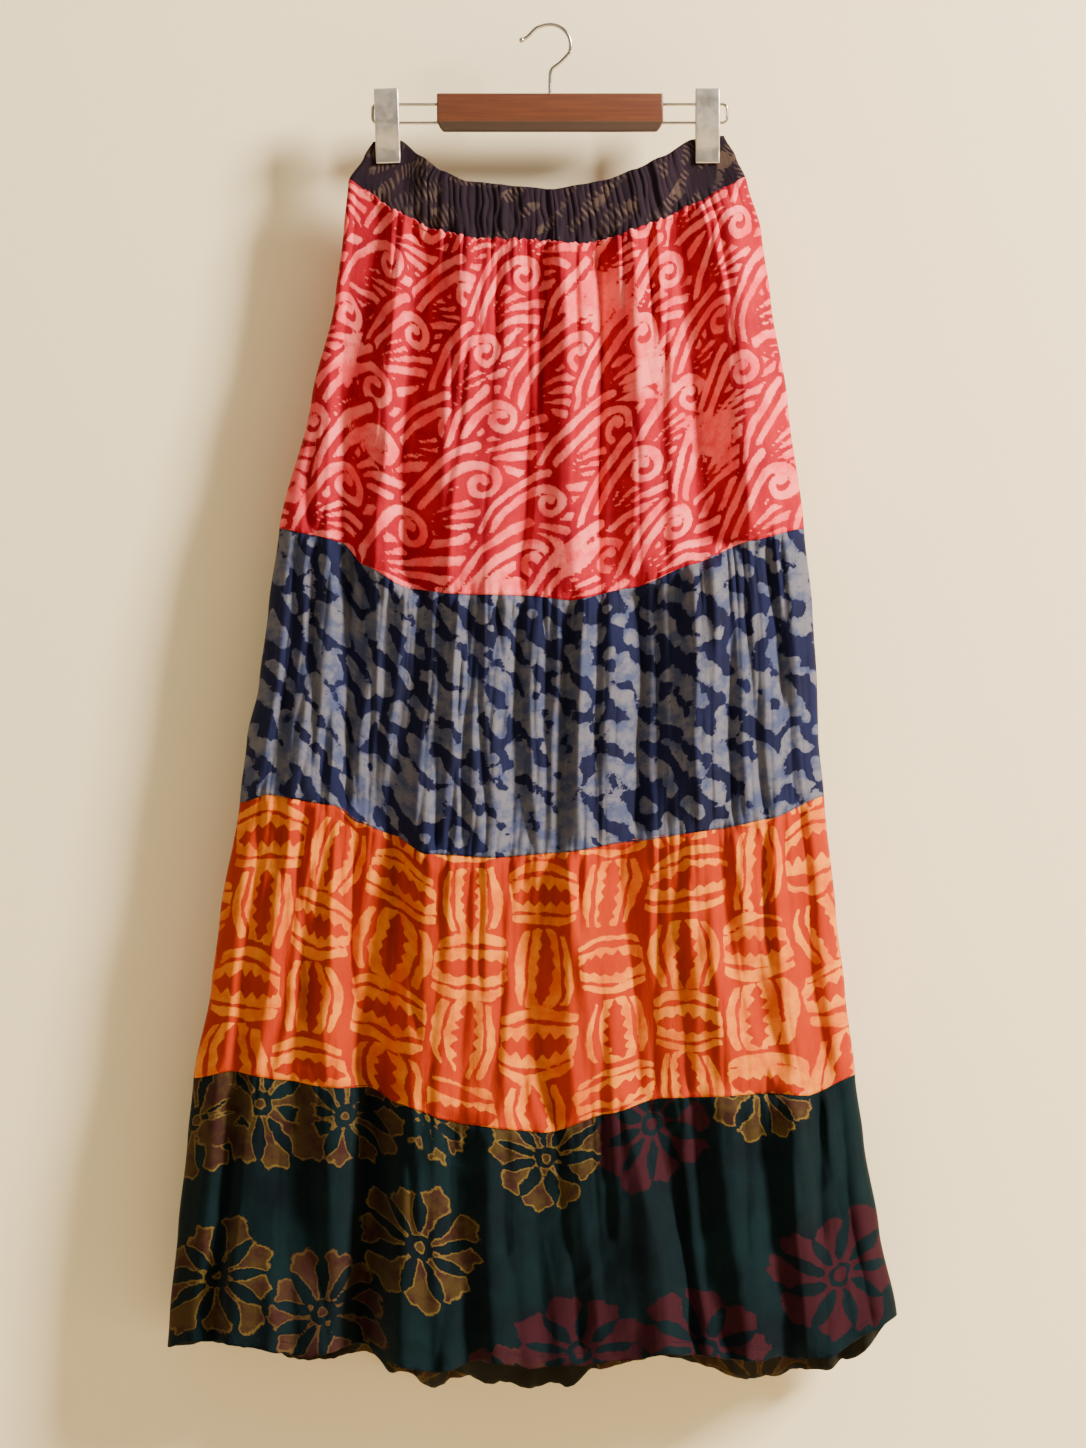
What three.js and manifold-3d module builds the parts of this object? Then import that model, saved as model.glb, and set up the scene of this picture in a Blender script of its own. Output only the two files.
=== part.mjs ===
// Tiered maxi skirt hung by two clips from a wire and wood hanger.
// Millimetres, +Z up, and the front faces -Y.
// The origin is the underside of the hook's crown, where a rail carries the hanger.
import * as THREE from "three";
import Module from "manifold-3d";

// cloth
const wall = 1.6; // thickness of every cloth wall
const gap = 0.3; // clear space between neighbouring pieces
const columns = 72; // sections across each half of the tube
const roundness = 2.6; // higher is squarer where the tube turns at its sides
const leastRoom = 0.27; // share of the depth that the deepest fold leaves free

// hanger
const hookWire = 3.3;
const hookRound = 17.3; // centreline radius of the crown
const stemEnd = -74;
const barHalf = 95;
const barTop = -57;
const barFaceEnd = -80.6; // the front face ends here and the underside slopes in
const barBottom = -88.6;
const barDepth = 16;
const barFoot = 7; // width left at the bottom of the slopes
const rodWire = 2.6;
const rodUpper = -65.5;
const rodLower = -81;
const rodBend = 4; // bend radius at the loop's two corners
const rodInside = 20; // the legs end this far from the middle of the bar
const clipWide = 20.5;
const clipTop = -52.5;
const clipEnd = -115.5;
const clipSheet = 1; // sheet metal of the jaws
const clipReach = 8.5; // outer face of a jaw at the rods
const clipNip = 4.65; // outer face of a jaw at its tip
const flangeEnd = 2.4; // the folded sides stop this far from the middle plane
const blockWide = 14;
const padTop = -99;
const clips = [
  { name: "left", x: -137, lean: 1.8, loop: -149.1 },
  { name: "right", x: 132.2, lean: 0, loop: 148.7 },
];

// The tube's side edges and its half depths, a row for each level down the skirt.
const sides = [
  { z: -92, left: -146, right: 146, front: 5, back: 5 },
  { z: -110, left: -156, right: 156, front: 7, back: 6 },
  { z: -130, left: -169, right: 165, front: 9, back: 8 },
  { z: -172, left: -173, right: 177, front: 14, back: 12 },
  { z: -230, left: -180, right: 185, front: 21, back: 17 },
  { z: -314, left: -200, right: 199, front: 30, back: 23 },
  { z: -422, left: -227, right: 213, front: 36, back: 27 },
  { z: -488, left: -236, right: 220, front: 41, back: 30 },
  { z: -553, left: -244, right: 224, front: 43, back: 31 },
  { z: -597, left: -254, right: 225, front: 43, back: 31 },
  { z: -650, left: -260, right: 230, front: 44, back: 31 },
  { z: -749, left: -277, right: 240, front: 50, back: 34 },
  { z: -807, left: -284, right: 247, front: 51, back: 35 },
  { z: -883, left: -299, right: 256, front: 52, back: 35 },
  { z: -935, left: -304, right: 263, front: 57, back: 38 },
  { z: -1010, left: -312, right: 276, front: 60, back: 40 },
  { z: -1081, left: -319, right: 291, front: 62, back: 41 },
  { z: -1150, left: -324, right: 305, front: 64, back: 42 },
];

// Height of each seam and edge across the width.
const bandTop = [
  { x: -147, z: -97 },
  { x: -125, z: -96 },
  { x: -109, z: -109 },
  { x: -91, z: -122 },
  { x: -70, z: -131 },
  { x: -19, z: -136 },
  { x: 2, z: -138 },
  { x: 25, z: -134 },
  { x: 47, z: -130 },
  { x: 71, z: -121 },
  { x: 94, z: -110 },
  { x: 119, z: -95 },
  { x: 144, z: -92 },
];
const waistSeam = [
  { x: -169, z: -128 },
  { x: -155, z: -138 },
  { x: -129, z: -157 },
  { x: -96, z: -173 },
  { x: -65, z: -180 },
  { x: -7, z: -182 },
  { x: 26, z: -185 },
  { x: 52, z: -180 },
  { x: 88, z: -166 },
  { x: 120, z: -151 },
  { x: 149, z: -135 },
  { x: 165, z: -126 },
];
const seamOne = [
  { x: -227, z: -422 },
  { x: -198, z: -428 },
  { x: -174, z: -434 },
  { x: -156, z: -453 },
  { x: -118, z: -473 },
  { x: -76, z: -478 },
  { x: -18, z: -479 },
  { x: 18, z: -483 },
  { x: 70, z: -472 },
  { x: 119, z: -453 },
  { x: 167, z: -433 },
  { x: 213, z: -422 },
];
const seamTwo = [
  { x: -260, z: -652 },
  { x: -236, z: -645 },
  { x: -180, z: -654 },
  { x: -160, z: -668 },
  { x: -130, z: -679 },
  { x: -104, z: -694 },
  { x: -45, z: -697 },
  { x: 8, z: -693 },
  { x: 66, z: -684 },
  { x: 139, z: -674 },
  { x: 184, z: -665 },
  { x: 230, z: -646 },
];
const seamThree = [
  { x: -299, z: -883 },
  { x: -268, z: -876 },
  { x: -222, z: -883 },
  { x: -187, z: -888 },
  { x: -152, z: -890 },
  { x: -128, z: -901 },
  { x: -75, z: -918 },
  { x: -3, z: -926 },
  { x: 47, z: -910 },
  { x: 92, z: -897 },
  { x: 188, z: -894 },
  { x: 216, z: -896 },
  { x: 256, z: -880 },
];
const frontHem = [
  { x: -321, z: -1109 },
  { x: -304, z: -1102 },
  { x: -268, z: -1102 },
  { x: -205, z: -1113 },
  { x: -165, z: -1104 },
  { x: -128, z: -1116 },
  { x: -100, z: -1124 },
  { x: -56, z: -1114 },
  { x: -5, z: -1121 },
  { x: 55, z: -1115 },
  { x: 98, z: -1106 },
  { x: 149, z: -1113 },
  { x: 227, z: -1114 },
  { x: 269, z: -1093 },
  { x: 292, z: -1082 },
];
const backHem = [
  { x: -321, z: -1109 },
  { x: -268, z: -1111 },
  { x: -205, z: -1124 },
  { x: -165, z: -1117 },
  { x: -128, z: -1134 },
  { x: -103, z: -1150 },
  { x: -70, z: -1139 },
  { x: -11, z: -1149 },
  { x: 55, z: -1131 },
  { x: 98, z: -1122 },
  { x: 170, z: -1140 },
  { x: 223, z: -1134 },
  { x: 261, z: -1119 },
  { x: 292, z: -1082 },
];

// The long folds that run down through the tiers. Each has its place at the five levels,
// the share of the depth that it takes at the hem, and its half width.
const frontFolds = [
  { waist: -163, one: -199, two: -243, three: -262, hem: -297, share: 0.2, wide: 14 },
  { waist: -150, one: -168, two: -190, three: -220, hem: -214, share: 0.36, wide: 14 },
  { waist: -98, one: -111, two: -129, three: -150, hem: -160, share: 0.95, wide: 15 },
  { waist: -61, one: -76, two: -85, three: -76, hem: -67, share: 0.26, wide: 16 },
  { waist: -7, one: -20, two: -28, three: -14, hem: -4, share: 0.36, wide: 18 },
  { waist: 52, one: 68, two: 60, three: 37, hem: 50, share: 0.26, wide: 17 },
  { waist: 115, one: 150, two: 142, three: 184, hem: 206, share: 0.85, wide: 14 },
  { waist: 150, one: 186, two: 204, three: 226, hem: 256, share: 0.24, wide: 13 },
];
const backFolds = [
  { waist: -140, one: -182, two: -212, three: -246, hem: -262, share: 0.3, wide: 17 },
  { waist: -84, one: -120, two: -138, three: -160, hem: -176, share: 0.46, wide: 18 },
  { waist: -36, one: -52, two: -60, three: -78, hem: -70, share: 0.26, wide: 20 },
  { waist: 18, one: 10, two: 22, three: 14, hem: 26, share: 0.44, wide: 18 },
  { waist: 74, one: 92, two: 98, three: 112, hem: 124, share: 0.28, wide: 19 },
  { waist: 128, one: 162, two: 176, three: 196, hem: 222, share: 0.42, wide: 16 },
];
const foldLevels = [-184, -470, -690, -920, -1130];

// Cloth pieces from the waist down. Waves counts the gathers across one half,
// and heights holds how deep they are at each of the piece's four rows.
const pieces = [
  {
    name: "waistband",
    tint: 0x2a202c,
    upper: bandTop,
    lower: waistSeam,
    rows: [0, 0.38, 0.7, 1],
    waves: 18,
    heights: [1.1, 1.3, 1.4, 1.2],
  },
  {
    name: "tier1",
    tint: 0xc4283a,
    upper: waistSeam,
    lower: seamOne,
    rows: [0, 0.16, 0.58, 1],
    waves: 17,
    heights: [1.7, 2.8, 2.2, 1.6],
  },
  {
    name: "tier2",
    tint: 0x1e2650,
    upper: seamOne,
    lower: seamTwo,
    rows: [0, 0.2, 0.62, 1],
    waves: 18,
    heights: [2, 3.6, 2.9, 1.8],
  },
  {
    name: "tier3",
    tint: 0xe25a28,
    upper: seamTwo,
    lower: seamThree,
    rows: [0, 0.2, 0.62, 1],
    waves: 18,
    heights: [2.2, 3.8, 3.2, 1.9],
  },
  {
    name: "tier4",
    tint: 0x16303a,
    upper: seamThree,
    lower: null,
    rows: [0, 0.24, 0.62, 1],
    waves: 14,
    heights: [2.2, 3.4, 4, 5.4],
  },
];

function smooth(t) {
  const k = Math.min(1, Math.max(0, t));
  return k * k * (3 - 2 * k);
}

// Value of one column of a table at a place along another, eased between its rows.
function lookUp(table, at, along, column) {
  const rising = table[1][along] > table[0][along];
  for (let i = 1; i < table.length; i += 1) {
    const inside = rising ? at <= table[i][along] : at >= table[i][along];
    if (inside || i === table.length - 1) {
      const a = table[i - 1];
      const b = table[i];
      const t = Math.min(1, Math.max(0, (at - a[along]) / (b[along] - a[along])));
      return a[column] + (b[column] - a[column]) * (0.5 * t + 0.5 * smooth(t));
    }
  }
  return table[0][column];
}

function edgeHeight(curve, x) {
  return lookUp(curve, x, "x", "z");
}

function foldPlace(fold, z) {
  const places = [fold.waist, fold.one, fold.two, fold.three, fold.hem];
  if (z >= foldLevels[0]) {
    return places[0];
  }
  for (let i = 1; i < places.length; i += 1) {
    if (z >= foldLevels[i]) {
      const t = (z - foldLevels[i - 1]) / (foldLevels[i] - foldLevels[i - 1]);
      return places[i - 1] + (places[i] - places[i - 1]) * smooth(t);
    }
  }
  return places[places.length - 1];
}

// Share of the depth taken by the long folds at one place, kept under its limit.
function foldShare(folds, x, z) {
  const down = Math.min(1, Math.max(0, (z + 130) / (foldLevels[4] + 130)));
  let taken = 0;
  for (const fold of folds) {
    const across = (x - foldPlace(fold, z)) / (fold.wide * (0.85 + 0.35 * down));
    taken += fold.share * Math.exp(-across * across);
  }
  const grown = taken * Math.pow(down, 0.45);
  return (1 - leastRoom) * Math.tanh(grown / (1 - leastRoom));
}

// How far the clips hold the band shut at one place, from 0 to 1.
function pinch(x, z) {
  let held = 0;
  for (const clip of clips) {
    const beside = 1 - smooth((Math.abs(x - clip.x) - 13) / 24);
    const below = 1 - smooth((-122 - z) / 46);
    held = Math.max(held, beside * below);
  }
  return held;
}

// Height of the gathers. Their widths and heights vary along the seam.
function gather(piece, seed, u, height) {
  const uneven = 0.013 * Math.sin(6.1 * Math.PI * u + seed) + 0.005 * Math.sin(15 * Math.PI * u + 2 * seed);
  const size = 0.68 + 0.32 * Math.sin(5.3 * Math.PI * u + 1.7 * seed);
  return height * size * Math.sin(2 * Math.PI * (piece.waves * (u + uneven)) + 1.3 * seed);
}

// Middle line of a cloth wall at one row: a list of places across one half of the tube.
function section(piece, facing, seed, row) {
  const folds = facing < 0 ? frontFolds : backFolds;
  const depthName = facing < 0 ? "front" : "back";
  const ending = facing < 0 ? frontHem : backHem;
  const lower = piece.lower || ending;
  const v = piece.rows[row];
  const line = [];
  for (let i = 0; i <= columns; i += 1) {
    const u = i / columns;
    let x = -160 + 320 * u;
    let z = 0;
    for (let pass = 0; pass < 6; pass += 1) {
      z = edgeHeight(piece.upper, x) * (1 - v) + edgeHeight(lower, x) * v;
      const left = lookUp(sides, z, "z", "left");
      const right = lookUp(sides, z, "z", "right");
      x = left + (right - left) * u;
    }
    const s = Math.abs(2 * u - 1);
    const atEdge = i === 0 || i === columns;
    const turn = Math.sqrt(Math.max(0, 1 - Math.pow(s, roundness)));
    const open = piece.name === "waistband" ? 1 - pinch(x, z) : 1 - 0.8 * pinch(x, z);
    const room = lookUp(sides, z, "z", depthName) * turn * (1 - foldShare(folds, x, z)) * open;
    const calm = smooth((1 - s) / 0.12) * open;
    const raise = gather(piece, seed, u, piece.heights[row]) * calm;
    const least = gap / 2 + (atEdge ? 0 : wall / 2);
    const away = atEdge ? least : Math.max(least, least + room + raise);
    line.push({ x, y: facing * away, z });
  }
  return line;
}

// Moves each place of a section sideways by half a wall, square to the line.
function moved(line, facing, distance) {
  const last = line.length - 1;
  return line.map((place, i) => {
    if (i === 0 || i === last) {
      return { x: place.x + (i === 0 ? -distance : distance), y: place.y };
    }
    const before = line[i - 1];
    const after = line[i + 1];
    const a = new THREE.Vector2(place.y - before.y, before.x - place.x).normalize();
    const b = new THREE.Vector2(after.y - place.y, place.x - after.x).normalize();
    const square = a.clone().add(b).normalize();
    const stretch = Math.min(1.3, 1 / Math.max(0.2, square.dot(b)));
    const outward = -facing * distance * stretch;
    return { x: place.x + square.x * outward, y: place.y + square.y * outward };
  });
}

// A cloth piece for one half of the tube, as a closed wall through its sections.
function clothWall(piece, facing, seed) {
  const outer = [];
  const inner = [];
  piece.rows.forEach((v, row) => {
    const line = section(piece, facing, seed, row);
    const faces = [moved(line, facing, wall / 2), moved(line, facing, -wall / 2)];
    faces.forEach((face, side) => {
      face.forEach((place, i) => {
        let z = line[i].z;
        if (row === 0) {
          z = edgeHeight(piece.upper, place.x) - gap / 2;
        } else if (row === piece.rows.length - 1 && piece.lower) {
          z = edgeHeight(piece.lower, place.x) + gap / 2;
        }
        (side === 0 ? outer : inner).push(place.x, place.y, z);
      });
    });
  });
  const wide = columns + 1;
  const rows = piece.rows.length;
  const half = wide * rows;
  const faces = [];
  const quad = (a, b, c, d) => {
    if (facing < 0) {
      faces.push(a, b, c, a, c, d);
    } else {
      faces.push(a, c, b, a, d, c);
    }
  };
  for (let r = 0; r < rows - 1; r += 1) {
    for (let i = 0; i < columns; i += 1) {
      const a = r * wide + i;
      quad(a, a + wide, a + wide + 1, a + 1);
      quad(half + a, half + a + 1, half + a + wide + 1, half + a + wide);
    }
  }
  for (let i = 0; i < columns; i += 1) {
    const b = (rows - 1) * wide + i;
    quad(i, i + 1, half + i + 1, half + i);
    quad(b, half + b, half + b + 1, b + 1);
  }
  for (let r = 0; r < rows - 1; r += 1) {
    const a = r * wide;
    const b = a + columns;
    quad(a, half + a, half + a + wide, a + wide);
    quad(b, b + wide, half + b + wide, half + b);
  }
  const geometry = new THREE.BufferGeometry();
  geometry.setAttribute("position", new THREE.Float32BufferAttribute([...outer, ...inner], 3));
  geometry.setIndex(faces);
  return geometry;
}

const wasm = await Module();
wasm.setup();

function toSolid(geometry) {
  const bare = geometry.index ? geometry.toNonIndexed() : geometry.clone();
  bare.deleteAttribute("normal");
  bare.deleteAttribute("uv");
  const places = bare.attributes.position.array;
  const found = new Map();
  const points = [];
  const corners = [];
  for (let i = 0; i < places.length; i += 3) {
    const key = [0, 1, 2].map((k) => Math.round(places[i + k] * 1e4)).join();
    if (!found.has(key)) {
      found.set(key, points.length / 3);
      points.push(places[i], places[i + 1], places[i + 2]);
    }
    corners.push(found.get(key));
  }
  const kept = [];
  for (let i = 0; i < corners.length; i += 3) {
    const [a, b, c] = corners.slice(i, i + 3);
    if (a !== b && b !== c && c !== a) {
      kept.push(a, b, c);
    }
  }
  return new wasm.Manifold(
    new wasm.Mesh({
      numProp: 3,
      vertProperties: new Float32Array(points),
      triVerts: new Uint32Array(kept),
    }),
  );
}

function toGeometry(solid) {
  const mesh = solid.getMesh();
  const geometry = new THREE.BufferGeometry();
  geometry.setAttribute("position", new THREE.Float32BufferAttribute(mesh.vertProperties, 3));
  geometry.setIndex(Array.from(mesh.triVerts));
  return geometry;
}

function disc(radius, around) {
  const shape = new THREE.Shape();
  for (let i = 0; i < around; i += 1) {
    const turn = (i / around) * 2 * Math.PI;
    const place = [radius * Math.cos(turn), radius * Math.sin(turn)];
    if (i === 0) {
      shape.moveTo(...place);
    } else {
      shape.lineTo(...place);
    }
  }
  shape.closePath();
  return shape;
}

function wireAlong(path, diameter, around, steps) {
  return new THREE.ExtrudeGeometry(disc(diameter / 2, around), {
    steps,
    bevelEnabled: false,
    extrudePath: path,
  });
}

// A prism along X from a profile of [y, z] corners, centred on the middle plane.
function prism(profile, width, softening) {
  const shape = new THREE.Shape(profile.map(([y, z]) => new THREE.Vector2(y, z)));
  const geometry = new THREE.ExtrudeGeometry(shape, {
    depth: width - 2 * softening,
    bevelEnabled: softening > 0,
    bevelThickness: softening,
    bevelSize: softening,
    bevelOffset: -softening,
    bevelSegments: 2,
    steps: 1,
  });
  geometry.translate(0, 0, softening - width / 2);
  geometry.applyMatrix4(
    new THREE.Matrix4().makeBasis(
      new THREE.Vector3(0, 1, 0),
      new THREE.Vector3(0, 0, 1),
      new THREE.Vector3(1, 0, 0),
    ),
  );
  return geometry;
}

// Hook: stem, neck, round crown and a turned-up tip with a ball on it.
function hookPath() {
  const places = [
    [0, stemEnd],
    [0, -58],
    [0, -45],
    [1.2, -36.5],
    [8.6, -30.2],
  ];
  for (let degrees = -24; degrees <= 108; degrees += 22) {
    const turn = THREE.MathUtils.degToRad(degrees);
    places.push([hookRound * Math.cos(turn), hookRound * (Math.sin(turn) - 1) + hookWire / 2]);
  }
  places.push([-10.4, -0.9]);
  places.push([-14.3, -3.9]);
  places.push([-17.4, -7.3]);
  places.push([-20.3, -9.7]);
  places.push([-23.9, -11.5]);
  return places;
}

function buildHook() {
  const places = hookPath();
  const path = new THREE.CatmullRomCurve3(places.map(([x, z]) => new THREE.Vector3(x, 0, z)));
  const wire = toSolid(wireAlong(path, hookWire, 12, 60));
  const [tipX, tipZ] = places[places.length - 1];
  const ball = new THREE.SphereGeometry(hookWire * 0.72, 12, 8);
  ball.translate(tipX, 0, tipZ);
  return toGeometry(wire.add(toSolid(ball)));
}

// One bent rod: two legs from inside the bar, closed by a loop outside the clip.
function rodPath(loop) {
  const out = Math.sign(loop);
  const start = new THREE.Vector3(out * rodInside, 0, rodUpper);
  const end = new THREE.Vector3(out * rodInside, 0, rodLower);
  const path = new THREE.CurvePath();
  const bendX = loop - out * rodBend;
  const bends = [
    [rodUpper, -1],
    [rodLower, 1],
  ].map(([z, down]) => ({
    leg: new THREE.Vector3(bendX, 0, z),
    corner: new THREE.Vector3(loop, 0, z),
    side: new THREE.Vector3(loop, 0, z + down * rodBend),
  }));
  path.add(new THREE.LineCurve3(start, bends[0].leg));
  path.add(new THREE.QuadraticBezierCurve3(bends[0].leg, bends[0].corner, bends[0].side));
  path.add(new THREE.LineCurve3(bends[0].side, bends[1].side));
  path.add(new THREE.QuadraticBezierCurve3(bends[1].side, bends[1].corner, bends[1].leg));
  path.add(new THREE.LineCurve3(bends[1].leg, end));
  return path;
}

// The rod is drawn through samples that are dense at the bends and sparse on the legs.
function buildRod(loop) {
  const path = rodPath(loop);
  const samples = [];
  path.curves.forEach((curve, index) => {
    const steps = curve.isLineCurve3 ? 1 : 5;
    for (let i = index === 0 ? 0 : 1; i <= steps; i += 1) {
      samples.push(curve.getPoint(i / steps));
    }
  });
  const around = 12;
  const points = [];
  samples.forEach((place, i) => {
    const before = samples[Math.max(0, i - 1)];
    const after = samples[Math.min(samples.length - 1, i + 1)];
    const ahead = after.clone().sub(place).normalize();
    const behind = place.clone().sub(before).normalize();
    const along = ahead.add(behind).normalize();
    const up = new THREE.Vector3(0, 1, 0);
    const out = new THREE.Vector3().crossVectors(up, along).normalize();
    for (let k = 0; k < around; k += 1) {
      const turn = (k / around) * 2 * Math.PI;
      const ring = out.clone().multiplyScalar(Math.cos(turn)).addScaledVector(up, Math.sin(turn));
      points.push(...place.clone().addScaledVector(ring, rodWire / 2).toArray());
    }
  });
  const faces = [];
  for (let i = 0; i < samples.length - 1; i += 1) {
    for (let k = 0; k < around; k += 1) {
      const next = (k + 1) % around;
      const a = i * around + k;
      const b = i * around + next;
      faces.push(a, b, b + around, a, b + around, a + around);
    }
  }
  const last = (samples.length - 1) * around;
  for (let k = 1; k < around - 1; k += 1) {
    faces.push(0, k + 1, k, last, last + k, last + k + 1);
  }
  const geometry = new THREE.BufferGeometry();
  geometry.setAttribute("position", new THREE.Float32BufferAttribute(points, 3));
  geometry.setIndex(faces);
  return geometry;
}

// Wood bar, bored from each end for the rod legs and from above for the stem.
function buildBar() {
  const front = -barDepth / 2;
  const profile = [
    [front + 2.4, barTop],
    [front + 0.7, barTop - 0.7],
    [front, barTop - 2.4],
    [front, barFaceEnd + 1],
    [front + 0.5, barFaceEnd],
    [-barFoot / 2, barBottom],
    [barFoot / 2, barBottom],
    [-front - 0.5, barFaceEnd],
    [-front, barFaceEnd + 1],
    [-front, barTop - 2.4],
    [-front - 0.7, barTop - 0.7],
    [-front - 2.4, barTop],
  ];
  let solid = toSolid(prism(profile, 2 * barHalf, 1));
  const boreRadius = rodWire / 2 + gap;
  for (const z of [rodUpper, rodLower]) {
    for (const out of [-1, 1]) {
      const length = barHalf - rodInside + gap + 5;
      const bore = new THREE.CylinderGeometry(boreRadius, boreRadius, length, 16);
      bore.rotateZ(Math.PI / 2);
      bore.translate(out * (rodInside - gap + length / 2), 0, z);
      solid = solid.subtract(toSolid(bore));
    }
  }
  const stemLength = barTop - stemEnd + gap + 5;
  const stemBore = new THREE.CylinderGeometry(hookWire / 2 + gap, hookWire / 2 + gap, stemLength, 16);
  stemBore.rotateX(Math.PI / 2);
  stemBore.translate(0, 0, stemEnd - gap + stemLength / 2);
  return toGeometry(solid.subtract(toSolid(stemBore)));
}

// Outer face of a jaw from its finger end down to its tip, as [y, z] for the front one.
const jawLine = [
  [-clipReach + 1.6, clipTop],
  [-clipReach + 0.3, clipTop - 4],
  [-clipReach, -62],
  [-clipReach, -86],
  [-6.6, -96],
  [-clipNip, -103],
  [-clipNip, clipEnd],
];

// A jaw is bent from sheet: a long face with both sides folded in.
function buildJaw(facing) {
  const turned = jawLine.map(([y, z]) => [-facing * y, z]);
  const outline = [...turned, [facing * flangeEnd, clipEnd], [facing * flangeEnd, clipTop]];
  const inside = jawLine.map(([y, z]) => [-facing * (y + clipSheet), z]);
  inside[0][1] = clipTop + 2;
  inside[inside.length - 1][1] = clipEnd - 2;
  const hollow = [...inside, [-facing * 3, clipEnd - 2], [-facing * 3, clipTop + 2]];
  const outer = toSolid(prism(ordered(outline), clipWide, 0.5));
  const cut = toSolid(prism(ordered(hollow), clipWide - 2 * clipSheet, 0));
  return toGeometry(outer.subtract(cut));
}

function ordered(corners) {
  const points = corners.map(([y, z]) => new THREE.Vector2(y, z));
  return THREE.ShapeUtils.area(points) < 0 ? [...corners].reverse() : corners;
}

// Block between the jaws, bored for both rods, that holds the clip on them.
function buildBlock() {
  const half = clipReach - clipSheet - gap;
  const profile = [
    [-half, rodUpper + 6],
    [-half, rodLower - 5],
    [half, rodLower - 5],
    [half, rodUpper + 6],
  ];
  let solid = toSolid(prism(profile, blockWide, 0.6));
  for (const z of [rodUpper, rodLower]) {
    const bore = new THREE.CylinderGeometry(rodWire / 2 + gap, rodWire / 2 + gap, blockWide + 4, 16);
    bore.rotateZ(Math.PI / 2);
    bore.translate(0, 0, z);
    solid = solid.subtract(toSolid(bore));
  }
  return toGeometry(solid);
}

// Soft pad inside a jaw's tip, just clear of the cloth that it holds.
function buildPad(facing) {
  const near = gap / 2 + wall + gap;
  const far = clipNip - clipSheet - gap;
  const profile = [
    [facing * near, padTop - 5],
    [facing * near, clipEnd + 0.5],
    [facing * far, clipEnd + 0.5],
    [facing * far, padTop - 5],
  ];
  return prism(ordered(profile), clipWide - 2 * clipSheet - 2 * gap, 0);
}

const group = new THREE.Group();
const metal = { color: 0xcdc6b9, roughness: 0.3, metalness: 1 };
const wood = { color: 0x7d462a, roughness: 0.5, metalness: 0 };
const plastic = { color: 0xd8d2c4, roughness: 0.6, metalness: 0 };

function addPart(parent, name, geometry, look) {
  geometry.deleteAttribute("uv");
  geometry.computeVertexNormals();
  const mesh = new THREE.Mesh(geometry, new THREE.MeshStandardMaterial(look));
  mesh.name = name;
  parent.add(mesh);
}

pieces.forEach((piece, index) => {
  const cloth = { color: piece.tint, roughness: 0.85, metalness: 0 };
  addPart(group, `${piece.name}_front`, clothWall(piece, -1, index + 0.6), cloth);
  addPart(group, `${piece.name}_back`, clothWall(piece, 1, index + 2.9), cloth);
});

addPart(group, "hook", buildHook(), metal);
addPart(group, "bar", buildBar(), wood);
for (const clip of clips) {
  addPart(group, `rod_${clip.name}`, buildRod(clip.loop), metal);
  const holder = new THREE.Group();
  holder.position.x = clip.x;
  addPart(holder, `clip_${clip.name}_block`, buildBlock(), plastic);
  const jaws = new THREE.Group();
  const pivot = (rodUpper + rodLower) / 2;
  jaws.position.z = pivot;
  jaws.rotation.y = -THREE.MathUtils.degToRad(clip.lean);
  for (const [side, facing] of [["front", -1], ["back", 1]]) {
    const jaw = buildJaw(facing);
    jaw.translate(0, 0, -pivot);
    addPart(jaws, `clip_${clip.name}_jaw_${side}`, jaw, metal);
    const pad = buildPad(facing);
    pad.translate(0, 0, -pivot);
    addPart(jaws, `clip_${clip.name}_pad_${side}`, pad, plastic);
  }
  holder.add(jaws);
  group.add(holder);
}

export default group;
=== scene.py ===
import math

import bpy
import numpy as np
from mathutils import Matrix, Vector


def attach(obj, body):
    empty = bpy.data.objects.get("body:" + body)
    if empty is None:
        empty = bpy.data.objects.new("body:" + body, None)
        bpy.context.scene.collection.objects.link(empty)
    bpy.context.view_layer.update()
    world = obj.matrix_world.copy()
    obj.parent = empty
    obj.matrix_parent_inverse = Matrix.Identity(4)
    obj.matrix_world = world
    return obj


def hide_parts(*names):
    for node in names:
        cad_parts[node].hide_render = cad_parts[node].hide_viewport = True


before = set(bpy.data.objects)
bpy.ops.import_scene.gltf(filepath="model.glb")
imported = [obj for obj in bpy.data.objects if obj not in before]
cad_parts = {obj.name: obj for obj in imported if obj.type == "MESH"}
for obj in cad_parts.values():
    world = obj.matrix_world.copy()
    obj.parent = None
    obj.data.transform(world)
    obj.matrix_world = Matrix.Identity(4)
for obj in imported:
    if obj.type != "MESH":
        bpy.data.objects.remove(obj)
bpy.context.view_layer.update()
scene = bpy.context.scene

# camera, straight on and level with the middle of the skirt
shot = {"distance": 4.2, "aimX": -0.0059, "aimZ": -0.586, "high": 1.2163, "sensor": 36}
shot.update({"near": 0.05, "far": 60})
lens = bpy.data.cameras.new("camera")
lens.sensor_fit = "AUTO"
lens.sensor_width = shot["sensor"]
lens.lens = shot["sensor"] * shot["distance"] / shot["high"]
lens.clip_start = shot["near"]
lens.clip_end = shot["far"]
camera = bpy.data.objects.new("camera", lens)
camera.location = (shot["aimX"], -shot["distance"], shot["aimZ"])
camera.rotation_euler = (math.pi / 2, 0, 0)
scene.collection.objects.link(camera)
scene.camera = camera


# small helpers for numbers
def ramp(t):
    t = np.clip(t, 0, 1)
    return t * t * (3 - 2 * t)


def hashed(i, j, seed):
    value = np.sin(i * 127.1 + j * 311.7 + seed * 74.7) * 43758.5453
    return value - np.floor(value)


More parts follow.
